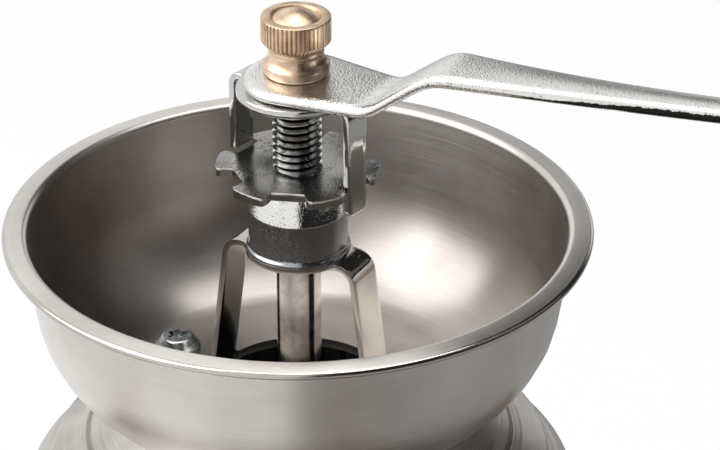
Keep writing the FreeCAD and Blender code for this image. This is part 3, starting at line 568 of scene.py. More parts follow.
@dataclass(frozen=True)
class LatheSteel(Finish):
    """Stainless steel, brushed while it turned: fine lines round the axis and streaked highlights."""

    light: str
    dark: str
    rough: float = 0.29
    spread: float = 0.10
    # Brush lines lie about 0.05 mm apart. They are drawn coarser, because finer ones don't show.
    line: float = 0.22
    line_depth: float = 0.012
    line_breaks: float = 2.2
    smudge: float = 18.18
    streak: float = 0.75

    def paint(self, tree: Tree, shader: Node, place: Socket) -> None:
        """Draw lines that follow radius and height and break along the turn, and smudge the colour.

        Args:
            tree: The material's nodes.
            shader: Its shader.
            place: Object coordinates.
        """
        flat = add(tree, "VectorMath", {"operation": "MULTIPLY", 1: (1, 1, 0)}, {0: place})
        radius = add(tree, "VectorMath", {"operation": "LENGTH"}, {0: flat})
        x, y, z = add(tree, "SeparateXYZ", links={0: place}).outputs
        angle = add(tree, "Math", {"operation": "ARCTAN2"}, {0: y, 1: x})
        turn = add(tree, "Math", {"operation": "ABSOLUTE"}, {0: angle})
        along = add(tree, "Math", {"operation": "MULTIPLY", 1: self.line * MM * self.line_breaks}, {0: turn})
        lines_at = add(tree, "CombineXYZ", links={0: radius, 1: z, 2: along})
        lines = add(tree, "TexNoise", {"Scale": 1 / (self.line * MM), "Detail": 4.0, "Roughness": 0.7},
                    {"Vector": lines_at})
        smudge = add(tree, "TexNoise", {"Scale": 1 / (self.smudge * MM), "Detail": 3.0}, {"Vector": place})
        both = add(tree, "Math", {"operation": "MULTIPLY_ADD", 1: 0.45}, {0: lines, 2: smudge})
        colour = add(tree, "ValToRGB", {"stops": ((0.45, self.dark), (0.95, self.light))}, {0: both})
        rough = add(tree, "MapRange",
                    {TO_LOW: self.rough - self.spread / 2, TO_HIGH: self.rough + self.spread}, {0: lines})
        bump = add(tree, "Bump", {"Strength": 0.25, "Distance": self.line_depth * MM}, {"Height": lines})
        tangent = add(tree, "Tangent", {"direction_type": "RADIAL", "axis": "Z"})
        fit(shader, {"Metallic": 1.0, "Anisotropic": self.streak, "Anisotropic Rotation": 0.25},
            {"Base Color": colour, "Roughness": rough, "Normal": bump, "Tangent": tangent})


@dataclass(frozen=True)
class CastChrome(Finish):
    """Chrome on rough metal: a bright skin over pits and grains that show as dark specks."""

    rough: float
    pit: float
    peel: float
    wave: float = 0.02
    light: str = "#e3e2df"
    dark: str = "#8d8a86"
    patch_size: float = 5.5
    pit_size: float = 0.34
    pit_depth: float = 0.02
    wave_size: float = 3.2
    peel_size: float = 0.3

    def paint(self, tree: Tree, shader: Node, place: Socket) -> None:
        """Lay slow waves, an orange peel in the plating, and pits in rougher patches.

        Args:
            tree: The material's nodes.
            shader: Its shader.
            place: Object coordinates.
        """
        patch = add(tree, "TexNoise", {"Scale": 1 / (self.patch_size * MM), "Detail": 2.0}, {"Vector": place})
        where = add(tree, "MapRange", {FROM_LOW: 0.42, FROM_HIGH: 0.62}, {0: patch})
        grains = add(tree, "TexNoise", {"Scale": 1 / (self.pit_size * MM), "Detail": 3.0, "Roughness": 0.6},
                     {"Vector": place})
        pits = add(tree, "MapRange", {FROM_LOW: self.pit, FROM_HIGH: self.pit + 0.1}, {0: grains})
        specks = add(tree, "Math", {"operation": "MULTIPLY"}, {0: pits, 1: where})
        waves = add(tree, "TexNoise", {"Scale": 1 / (self.wave_size * MM), "Detail": 1.0}, {"Vector": place})
        peels = add(tree, "TexNoise", {"Scale": 1 / (self.peel_size * MM), "Detail": 1.0}, {"Vector": place})
        swell = add(tree, "Math", {"operation": "MULTIPLY", 1: self.wave}, {0: waves})
        skin = add(tree, "Math", {"operation": "MULTIPLY_ADD", 1: self.peel}, {0: peels, 2: swell})
        self.vary(tree, place, skin.inputs[1])
        height = add(tree, "Math", {"operation": "MULTIPLY_ADD", 1: -self.pit_depth}, {0: specks, 2: skin})
        bump = add(tree, "Bump", {"Strength": 1.0, "Distance": MM}, {"Height": height})
        colour = add(tree, "Mix", {"data_type": "RGBA", COLOUR_A: linear(self.light), COLOUR_B: linear(self.dark)},
                     {0: specks})
        rough = add(tree, "MapRange", {TO_LOW: self.rough, TO_HIGH: self.rough + 0.22}, {0: specks})
        fit(shader, {"Metallic": 1.0}, {"Base Color": colour, "Roughness": rough, "Normal": bump})

    def vary(self, tree: Tree, place: Socket, depth: Socket) -> None:
        """Leave the peel's depth the same everywhere; castings that differ replace this."""


@dataclass(frozen=True)
class ArmChrome(CastChrome):
    """The arm's chrome, with a painted dark reflection: a dark, ragged streak along its lower sides, wider towards
    the grip.
    """

    painted_reflection_dark: str = "#242321"
    start: Pair = (32.0, 183.67)
    climb: float = 0.0579
    bend: float = 0.000641
    hub_peel: float = 0.08
    hub_end: float = 26.0
    bar_start: float = 42.0
    rag_size: float = 0.9

    def vary(self, tree: Tree, place: Socket, depth: Socket) -> None:
        """Make the peel deep on the hub and in the bends, and shallow along the bar.

        Args:
            tree: The material's nodes.
            place: Object coordinates.
            depth: The socket that takes the peel's depth.
        """
        x = add(tree, "SeparateXYZ", links={0: place}).outputs[0]
        fade = add(tree, "MapRange", {FROM_LOW: self.hub_end * MM, FROM_HIGH: self.bar_start * MM,
                                      TO_LOW: self.hub_peel, TO_HIGH: self.peel}, {0: x})
        tree.links.new(fade.outputs[0], depth)

    def paint(self, tree: Tree, shader: Node, place: Socket) -> None:
        """Plate it as other castings, and paint a dark reflection into that as a streak, by the height over the
        bar's middle line.

        Args:
            tree: The material's nodes.
            shader: Its shader.
            place: Object coordinates.
        """
        super().paint(tree, shader, place)
        skin = shader.inputs["Base Color"].links[0].from_socket
        x, _, z = add(tree, "SeparateXYZ", links={0: place}).outputs
        along = add(tree, "Math", {"operation": "SUBTRACT", 1: self.start[0] * MM}, {0: x})
        slope = add(tree, "Math", {"operation": "MULTIPLY_ADD", 1: self.bend / MM, 2: self.climb}, {0: along})
        middle = add(tree, "Math", {"operation": "MULTIPLY_ADD", 2: self.start[1] * MM}, {0: slope, 1: along})
        over = add(tree, "Math", {"operation": "SUBTRACT"}, {0: z, 1: middle})
        rags = add(tree, "TexNoise", {"Scale": 1 / (self.rag_size * MM), "Detail": 4.0, "Roughness": 0.75},
                   {"Vector": place})
        spread = add(tree, "MapRange", {FROM_LOW: -2 * MM, FROM_HIGH: 28 * MM,
                                        TO_LOW: -1.5 * MM, TO_HIGH: -0.15 * MM}, {0: along})
        edge = add(tree, "Math", {"operation": "MULTIPLY_ADD", 1: self.rag_size * MM}, {0: rags, 2: spread})
        under = add(tree, "Math", {"operation": "SUBTRACT"}, {0: edge, 1: over})
        below = add(tree, "MapRange", {FROM_LOW: 0.0, FROM_HIGH: 0.12 * MM}, {0: under})
        above = add(tree, "MapRange", {FROM_LOW: -0.95 * MM, FROM_HIGH: -0.85 * MM}, {0: over})
        # Painted dark reflection: a ragged band just under the bar's middle line
        streak = add(tree, "Math", {"operation": "MULTIPLY"}, {0: below, 1: above})
        colour = add(tree, "Mix", {"data_type": "RGBA", COLOUR_B: linear(self.painted_reflection_dark)}, {0: streak, COLOUR_A: skin})
        fit(shader, links={"Base Color": colour})


@dataclass(frozen=True)
class TurnedMetal(Finish):
    """Metal from a lathe: tight tool marks round the axis, with a slow change of tone along it."""

    light: str
    dark: str
    rough: float
    # Tool marks lie about 0.08 mm apart. They are drawn twice as coarse, so that they show.
    mark: float = 0.16
    depth: float = 0.008
    grit: float = 0.0
    grit_size: float = 0.2
    stain_size: float = 2.6

    def paint(self, tree: Tree, shader: Node, place: Socket) -> None:
        """Draw tool marks by height and radius, matt grit and a fine tarnish.

        Args:
            tree: The material's nodes.
            shader: Its shader.
            place: Object coordinates.
        """
        drawn_out = add(tree, "VectorMath", {"operation": "MULTIPLY", 1: (0.25, 0.25, 1)}, {0: place})
        marks = add(tree, "TexNoise", {"Scale": 1 / (self.mark * MM), "Detail": 2.0}, {"Vector": drawn_out})
        stain = add(tree, "TexNoise", {"Scale": 1 / (self.stain_size * MM), "Detail": 4.0, "Roughness": 0.65},
                    {"Vector": place})
        colour = add(tree, "ValToRGB", {"stops": ((0.3, self.dark), (0.62, self.light))}, {0: stain})
        mixed = add(tree, "Math", {"operation": "ADD"}, {0: marks, 1: stain})
        rough = add(tree, "MapRange", {FROM_LOW: 0.6, FROM_HIGH: 1.4, TO_LOW: self.rough - 0.06,
                                       TO_HIGH: self.rough + 0.14}, {0: mixed})
        sand = add(tree, "TexNoise", {"Scale": 1 / (self.grit_size * MM), "Detail": 1.0}, {"Vector": place})
        height = add(tree, "Math", {"operation": "MULTIPLY_ADD", 1: self.grit}, {0: sand, 2: marks})
        bump = add(tree, "Bump", {"Strength": 0.4, "Distance": self.depth * MM}, {"Height": height})
        fit(shader, {"Metallic": 1.0}, {"Base Color": colour, "Roughness": rough, "Normal": bump})


@dataclass(frozen=True)
class ThreadSteel(TurnedMetal):
    """The shaft's steel: a plain rod, and above it a thread with a painted highlight on its crests and painted
    shade in its roots.
    """

    # The crest colour is a painted highlight, and the root colour is painted shade.
    painted_crest_highlight: str = "#e4e4e3"
    painted_root_shade: str = "#141312"
    start: float = 158.7
    root_shade_full_radius: float = 3.3
    root_shade_none_radius: float = 3.6

    def paint(self, tree: Tree, shader: Node, place: Socket) -> None:
        """Whiten turned steel over the thread's start as a painted highlight, and blacken it towards the axis
        there as painted shade in the roots.

        Args:
            tree: The material's nodes.
            shader: Its shader.
            place: Object coordinates.
        """
        super().paint(tree, shader, place)
        skin = shader.inputs["Base Color"].links[0].from_socket
        z = add(tree, "SeparateXYZ", links={0: place}).outputs[2]
        threaded = add(tree, "MapRange", {FROM_LOW: (self.start - 0.1) * MM, FROM_HIGH: (self.start + 0.1) * MM},
                       {0: z})
        # Painted highlight: the thread whitened above its start
        bright = add(tree, "Mix", {"data_type": "RGBA", COLOUR_B: linear(self.painted_crest_highlight)},
                     {0: threaded, COLOUR_A: skin})
        flat = add(tree, "VectorMath", {"operation": "MULTIPLY", 1: (1, 1, 0)}, {0: place})
        radius = add(tree, "VectorMath", {"operation": "LENGTH"}, {0: flat})
        # Painted shade: black in the thread's roots, fading out towards the crests
        deep = add(tree, "MapRange", {FROM_LOW: self.root_shade_full_radius * MM, FROM_HIGH: self.root_shade_none_radius * MM,
                                      TO_LOW: 1.0, TO_HIGH: 0.0}, {0: radius})
        stain = add(tree, "Math", {"operation": "MULTIPLY"}, {0: deep, 1: threaded})
        colour = add(tree, "Mix", {"data_type": "RGBA", COLOUR_B: linear(self.painted_root_shade)}, {0: stain, COLOUR_A: bright})
        fit(shader, links={"Base Color": colour})


@dataclass(frozen=True)
class CastIron(Finish):
    """Bare cast iron: dark and grainy."""

    light: str = "#5c5a58"
    dark: str = "#2a2928"
    # Moulding sand is about 0.2 mm fine. Its grain is drawn coarser, so that it shows.
    sand_size: float = 0.7
    sand_depth: float = 0.08

    def paint(self, tree: Tree, shader: Node, place: Socket) -> None:
        """Roughen it with sand grain from the mould.

        Args:
            tree: The material's nodes.
            shader: Its shader.
            place: Object coordinates.
        """
        sand = add(tree, "TexNoise", {"Scale": 1 / (self.sand_size * MM), "Detail": 4.0}, {"Vector": place})
        colour = add(tree, "Mix", {"data_type": "RGBA", COLOUR_A: linear(self.dark), COLOUR_B: linear(self.light)},
                     {0: sand})
        bump = add(tree, "Bump", {"Strength": 0.6, "Distance": self.sand_depth * MM}, {"Height": sand})
        rough = add(tree, "MapRange", {TO_LOW: 0.38, TO_HIGH: 0.62}, {0: sand})
        fit(shader, {"Metallic": 0.85}, {"Base Color": colour, "Roughness": rough, "Normal": bump})


@dataclass(frozen=True)
class Wood(Finish):
    """Planed wood under oil or lacquer: drawn-out figure, fine dark pores and a soft gloss."""

    grain: Grain
    light: str = "#8a5a34"
    dark: str = "#4a2a16"
    pore: str = "#2c170c"
    rough: float = 0.42
    coat: float = 0.0
    figure_size: float = 9.0
    # Pores are about 0.2 mm wide, and fibres are far finer. Both are drawn coarser, so that they show.
    fibre_size: float = 0.9
    pore_size: float = 0.4
    pore_depth: float = 0.05

    def paint(self, tree: Tree, shader: Node, place: Socket) -> None:
        """Draw figure, fibres and open pores out along the grain.

        Args:
            tree: The material's nodes.
            shader: Its shader.
            place: Object coordinates.
        """
        along = add(tree, "VectorMath", {"operation": "MULTIPLY", 1: self.grain.value}, {0: place})
        figure = add(tree, "TexNoise", {"Scale": 1 / (self.figure_size * MM), "Detail": 5.0, "Roughness": 0.55,
                                        "Distortion": 0.8}, {"Vector": along})
        fibre = add(tree, "TexNoise", {"Scale": 1 / (self.fibre_size * MM), "Detail": 2.0}, {"Vector": along})
        tone = add(tree, "Math", {"operation": "MULTIPLY_ADD", 1: 0.35}, {0: fibre, 2: figure})
        planed = add(tree, "ValToRGB", {"stops": ((0.46, self.dark), (0.86, self.light))}, {0: tone})
        pores = add(tree, "TexNoise", {"Scale": 1 / (self.pore_size * MM), "Detail": 1.0}, {"Vector": along})
        open_pore = add(tree, "MapRange", {FROM_LOW: 0.6, FROM_HIGH: 0.68}, {0: pores})
        colour = add(tree, "Mix", {"data_type": "RGBA", COLOUR_B: linear(self.pore)},
                     {0: open_pore, COLOUR_A: planed})
        bump = add(tree, "Bump", {"Strength": 0.35, "Distance": self.pore_depth * MM, "invert": True},
                   {"Height": open_pore})
        rough = add(tree, "MapRange", {TO_LOW: self.rough - 0.06, TO_HIGH: self.rough + 0.1}, {0: fibre})
        fit(shader, {"Coat Weight": self.coat, "Coat Roughness": 0.08},
            {"Base Color": colour, "Roughness": rough, "Normal": bump})


@dataclass(frozen=True)
class Felt(Finish):
    """Pressed wool felt: matted fibres and a soft sheen."""

    light: str = "#3c5a45"
    dark: str = "#22382a"
    # Wool is about 0.03 mm thick. Its tufts are drawn instead, because single fibres don't show.
    tuft_size: float = 0.5
    tuft_depth: float = 0.2

    def paint(self, tree: Tree, shader: Node, place: Socket) -> None:
        """Mat the surface with tufts.

        Args:
            tree: The material's nodes.
            shader: Its shader.
            place: Object coordinates.
        """
        tufts = add(tree, "TexNoise", {"Scale": 1 / (self.tuft_size * MM), "Detail": 6.0, "Distortion": 1.5},
                    {"Vector": place})
        colour = add(tree, "Mix", {"data_type": "RGBA", COLOUR_A: linear(self.dark), COLOUR_B: linear(self.light)},
                     {0: tufts})
        bump = add(tree, "Bump", {"Strength": 0.8, "Distance": self.tuft_depth * MM}, {"Height": tufts})
        fit(shader, {"Roughness": 0.95, "Sheen Weight": 0.4}, {"Base Color": colour, "Normal": bump})


# Spun stainless steel, brushed on the lathe: a pale satin whose highlights stretch across the lines
BOWL_STEEL = LatheSteel("brushed_bowl_steel", "spun_steel", light="#e0dcd7", dark="#c2bdb7")
# The same steel, darker and a little brown, for the bowl's inside faces: painted shade in the hollow
INSIDE_SHADE_STEEL = LatheSteel("brushed_steel_browned_by_coffee_oil", "spun_steel", light="#b8b2ad", dark="#96908b")
# The rolled rim, rubbed smooth by hands: narrow, sharp highlights
RIM_STEEL = LatheSteel("polished_rim_steel", "spun_steel", light="#cfcac5", dark="#b0aba5", rough=0.16,
                       spread=0.05, streak=0.4)
# The dome, brushed more coarsely: a soft grey with broad highlights
DOME_STEEL = LatheSteel("brushed_dome_steel", "spun_steel", light="#d8d4cf", dark="#98938d", rough=0.4, line=0.4,
                        streak=0.5)
# Chrome on a casting that was hardly polished: a mirror that orange peel and pits break up, with a painted dark
# reflection along its lower sides
ARM_CHROME = ArmChrome("cast_arm_chrome", "chrome", dark="#4e4c49", rough=0.14, pit=0.57, wave=0.01, peel=0.019)
# Chrome on pressed sheet: a clear mirror with few pits
SHEET_CHROME = CastChrome("pressed_sheet_chrome", "chrome", light="#c6c5c2", dark="#7a7875", rough=0.07, pit=0.66,
                          wave=0.01, peel=0.008)
# Chrome over a stippled face: a grey, grainy glitter
WHEEL_CHROME = CastChrome("stippled_wheel_chrome", "chrome", light="#94928f", dark="#3c3a38", rough=0.2, pit=0.53,
                          wave=0.01, peel=0.034)
# Chrome over a stippled cone: the same glitter, brighter and with blacker specks
CONE_CHROME = CastChrome("stippled_cone_chrome", "chrome", dark="#2a2928", rough=0.05, pit=0.57, wave=0.008,
                         peel=0.03)
# Chrome on the bent strap: long, clear reflections that slow waves of the sheet draw out
STRAP_CHROME = CastChrome("pressed_strap_chrome", "chrome", light="#bdb8b2", rough=0.12, pit=0.66, wave=0.03,
                          peel=0.005)
# Chrome on the cast collar: a cool grey mirror full of fine specks
COLLAR_CHROME = CastChrome("cast_collar_chrome", "chrome", light="#aaacae", dark="#4c4d4f", rough=0.13, pit=0.54,
                           peel=0.022)
# Turned steel: a bright rod, and a thread of painted white highlights on its crests over painted black shade in
# its roots
SHAFT_STEEL = ThreadSteel("turned_shaft_steel", "shaft_steel", light="#cfccc7", dark="#a5a19b", rough=0.12)
# Brass, turned and then matted: a warm, soft sheen without mirror images
NUT_BRASS = TurnedMetal("satin_turned_brass", "nut_brass", light="#e4cdb4", dark="#bf9f80", rough=0.3, depth=0.02,
                        grit=1.6)
# Bronze pressed from powder: brown and dull, with a faint shine where it runs
BUSH_BRONZE = TurnedMetal("sintered_bronze", "bush_bronze", light="#a5764a", dark="#7a5230", rough=0.42)
# Zinc plate on steel: a cool, slightly cloudy shine
SCREW_ZINC = TurnedMetal("bright_zinc_plate", "screw_steel", light="#c3c8c9", dark="#8f9798", rough=0.24)
# Cast iron as it left the mould: nearly black, with a grain that glints
BURR_IRON = CastIron("bare_cast_iron", "burr_iron")
# Walnut, planed and oiled: deep brown with figure along the board and short dark pores
BOARD_WALNUT = Wood("oiled_walnut_board", "box_wood", Grain.ALONG_X)
# The same walnut, its figure running from front to back
WALL_WALNUT = Wood("oiled_walnut_wall", "box_wood", Grain.ALONG_Y)
# Beech without a finish: pale, even and matt
DRAWER_BEECH = Wood("bare_beech", "drawer_wood", Grain.ALONG_Y, light="#d9b588", dark="#bd9465", pore="#8f6740",
                    rough=0.55)
# Turned wood under lacquer: dark figure below a clear, hard gloss
KNOB_WOOD = Wood("lacquered_knob_wood", "knob_wood", Grain.ALONG_Z, light="#6d3f22", dark="#381c0e", rough=0.3,
                 coat=0.8)
# Wool felt: no gloss, and a faint pale fuzz towards its edges
PAD_FELT = Felt("pressed_wool_felt", "felt")


# Sub-assemblies

@dataclass
class Hopper:
    """The open bowl on its spun dome, with the screws that hold them."""

    seat: float = 118.5
    sheet: float = 0.8
    throat: float = 14.7
    floor_radius: float = 28.1
    curve_radius: float = 41.07
    curve_rise: float = 4.93
    mouth: float = 44.85
    rim: float = 48.0
    rim_height: float = 1.35
    rim_lean: float = 0.15
    top: float = 150.0
    notch_reach: float = 17.1
    notch_half: float = 3.8
    deck: float = 76.0
    flange: float = 56.5
    screw_x: float = 24.0
    screw_end: float = 113.7
    star_points: int = 6
    star_ring: Pair = (1.4, 1.7)
    star_half: float = TURN / 34
    star_depth: float = 0.66
    flange_screw_x: float = 53.2
    flange_screw_end: float = 69.1
    flange_screws: int = 4
    slot_half: float = 0.3
    facets: int = 192

    def build(self) -> None:
        """Make bowl, dome and screws."""
        hand_over(self.bowl(), BOWL_STEEL, "housing", "hopper_bowl")
        hand_over(self.dome(), DOME_STEEL, "housing", "dome_cover")
        hand_over(self.bowl_screws(), SCREW_ZINC, "housing", "bowl_screws")
        hand_over(self.dome_screws(), NUT_BRASS, "housing", "dome_screws")

    def bowl(self) -> Piece:
        """Spin the bowl, widen its throat for the bridge's legs and give it its finishes.

        Returns:
            The bowl.
        """
        low, floor = self.seat, self.seat + self.sheet
        under_rim = self.top - self.rim_height
        piece = turned("bowl", [
            (self.throat, low), (self.floor_radius, low, 1.6), (self.curve_radius, low + self.curve_rise, 12.1),
            (self.mouth, under_rim, 0.35), (self.rim, under_rim, 0.62), (self.rim, self.top - self.rim_lean, 0.6),
            (self.mouth - self.sheet, self.top + self.rim_lean, 0.9),
            (self.curve_radius - 0.73, low + self.curve_rise + 0.66, 11.6),
            (self.floor_radius - 0.17, floor, 1.5), (self.throat, floor)], self.facets)
        self.widen_throat()

        def inside(middle: Vector, normal: Vector) -> bool:
            """Whether a face looks at the axis or up from the floor."""
            inwards = -normal.xy.dot(middle.xy.normalized())
            return middle.z < self.top - 0.9 and (inwards > 0.2 or normal.z > 0.5)

        def rolled(middle: Vector, normal: Vector) -> bool:
            """Whether a face lies on the rim's outer roll."""
            return middle.z > under_rim - 0.05 and middle.xy.length > self.rim - 0.7

        # The inside faces take a darker copy of the steel as painted shade; the rolled rim takes a smoother one.
        finish_apart(piece, BOWL_STEEL, (INSIDE_SHADE_STEEL, inside), (RIM_STEEL, rolled))
        return piece

    def widen_throat(self) -> None:
        """Flatten the throat's edge outwards where the bridge's legs pass."""
        for side in BOTH:
            pick(Pick.VERT, lambda at: at.x * side > 0 and abs(at.y) < self.notch_half
                 and math.hypot(at.x, at.y) < self.throat + 0.05)
            flatten_x(self.notch_reach * side)

    def dome(self) -> Piece:
        """Spin the stepped dome: its outside from the flange to its seat under the bowl, then its inside.

        Returns:
            The dome.
        """
        deck, top, sheet = self.deck, self.seat, self.sheet
        piece = turned("dome", [
            (self.flange, deck, 0.3), (self.flange, deck + sheet, 0.3), (47.4, deck + sheet, 1.7),
            (46.3, 101.3, 1.3), (43.8, 103.7, 0.5), (42.5, 104.0, 0.3), (41.8, 107.3, 0.6), (37.4, 109.55, 0.3),
            (37.0, 110.6, 0.35), (36.0, 111.0, 0.35), (35.5, 110.5, 0.15), (35.1, 111.75, 0.35),
            (34.0, 112.2, 0.35), (33.5, 112.35, 0.15), (28.6, top, 0.8), (self.throat, top),
            (self.throat, top - sheet), (28.2, top - sheet), (33.2, 111.2), (34.6, 109.6), (40.9, 106.6),
            (42.8, 103.6), (45.5, 101.0), (46.4, deck + 2.6, 0.8), (48.2, deck)], self.facets)
        self.widen_throat()
        return piece

    def bowl_screws(self) -> Piece:
        """Turn one screw, shape its star recess and copy it to the other side.

        Returns:
            Both screws.
        """
        seat, end = self.seat + self.sheet, self.screw_end
        piece = turned("bowl_star_screws", [
            (0, end), (2.0, end), (2.0, seat), (3.9, seat), (3.9, seat + 0.75, 0.3), (3.25, seat + 1.2, 0.3),
            (2.65, seat + 2.4, 0.35), (1.62, seat + 2.4), (1.55, seat + 1.5), (0, seat + 1.35)], 48, self.screw_x)
        for turn in range(self.star_points):
            spoke = TURN * (turn + 0.5) / self.star_points
            pick(Pick.VERT, lambda at: at.z > seat + 1.4 and self.near_spoke(at, spoke))
            draw_in(self.star_depth, self.screw_x)
        bpy.ops.mesh.select_all(action="SELECT")
        bpy.ops.mesh.duplicate()
        bpy.ops.transform.translate(value=(-2 * self.screw_x * MM, 0, 0))
        return piece

    def near_spoke(self, at: Vector, spoke: float) -> bool:
        """Find the recess's rim between two points of its star.

        Args:
            at: The place that is tested.
            spoke: Angle halfway between the two points.

        Returns:
            Whether the place is on that stretch of rim.
        """
        x, y = at.x - self.screw_x, at.y
        turn = (math.atan2(y, x) - spoke + math.pi) % TURN - math.pi
        return self.star_ring[0] < math.hypot(x, y) < self.star_ring[1] and abs(turn) < self.star_half

    def dome_screws(self) -> Piece:
        """Turn one round head screw, cut its slot and copy it round the flange.

        Returns:
            All the flange's screws.
        """
        seat, x, end = self.deck + self.sheet, self.flange_screw_x, self.flange_screw_end
        piece = turned("dome_flange_screws", [
            (0, end), (1.5, end), (1.5, seat), (2.7, seat), (2.7, seat + 0.6, 0.25), (1.4, seat + 1.45, 0.5),
            (0, seat + 1.5)], 32, x)
        cut_away(piece, block("slot", (x - 3, -self.slot_half, seat + 0.8), (x + 3, self.slot_half, seat + 3)))
        copy_round(self.flange_screws)
        settle(piece, (0, 0, 45))
        return piece


@dataclass
class Bridge:
    """The strap on two splayed legs over the throat, with the collar that carries the shaft."""

    strap_top: float = 145.7
    sheet: float = 1.0
    eye: float = 8.6
    bore: float = 5.23
    strap_angle: float = 24.0
    strap_ease: float = 2.0
    bend_x: float = 9.05
    bend: float = 3.4
    splay: float = 7.64
    leg: float = 24.05
    foot_bend: float = 1.2
    foot_reach: float = 27.2
    collar: float = 8.1
    shoulder: float = 152.7
    collar_top: float = 158.2
    facets: int = 60

    def build(self) -> None:
        """Bend the strap, turn the collar and its cone, and join them."""
        strap = self.strap()
        low = self.strap_top
        collar = turned("collar", [
            (self.bore, low - 0.5), (self.collar + 0.5, low - 0.5), (self.collar + 0.45, low + 0.35, 0.2),
            (self.collar, low + 0.8, 0.3), (self.collar, self.shoulder), (self.bore, self.shoulder)])
        cone = turned("cone", [
            (self.bore, self.shoulder), (self.collar, self.shoulder), (self.collar, self.shoulder + 0.15, 0.1),
            (6.0, self.collar_top, 0.2), (self.bore, self.collar_top)])
        for shell, finish in ((strap, STRAP_CHROME), (collar, COLLAR_CHROME), (cone, CONE_CHROME)):
            shell.data.materials.append(finish.material())
        piece = joined(strap, collar, cone)
        piece.name = "bearing_bridge_strap"
        hand_over(piece, STRAP_CHROME, "housing", "bearing_bridge")

    def strap(self) -> Piece:
        """Pull two straps out of a ring, bend them down and out, and give the sheet its thickness.

        Returns:
            The strap.
        """
        piece = flat_ring("strap", self.facets, self.eye, self.bore, self.strap_top)
        angle = math.radians(self.strap_angle)
        half = self.eye * math.sin(angle)
        for side in BOTH:
            pull_tab(side, half, self.eye, self.bend_x)
            self.bend_leg(side)
        for x in BOTH:
            for y in BOTH:
                ease((self.eye * math.cos(angle) * x, half * y, self.strap_top), self.strap_ease)
        thicken(piece, self.sheet, 0.22)
        return piece

    def bend_leg(self, side: int) -> None:
        """Carry one strap's end round its bends: down into the leg, then out into the foot.

        Args:
            side: 1 for the leg towards +X, -1 for the other.
        """
        turn, lean = 90 - self.splay, math.radians(self.splay)
        drop = self.strap_top - self.bend
        bend_edge(turn * side, (self.bend_x * side, drop))
        x = self.bend_x + self.bend * math.cos(lean)
        z = drop + self.bend * math.sin(lean)
        pull_edge(x=self.leg * math.sin(lean) * side, z=-self.leg * math.cos(lean))
        x += self.leg * math.sin(lean) + self.foot_bend * math.cos(lean)
        z += -self.leg * math.cos(lean) + self.foot_bend * math.sin(lean)
        bend_edge(-turn * side, (x * side, z), 6)
        pull_edge(x=(self.foot_reach - x) * side)


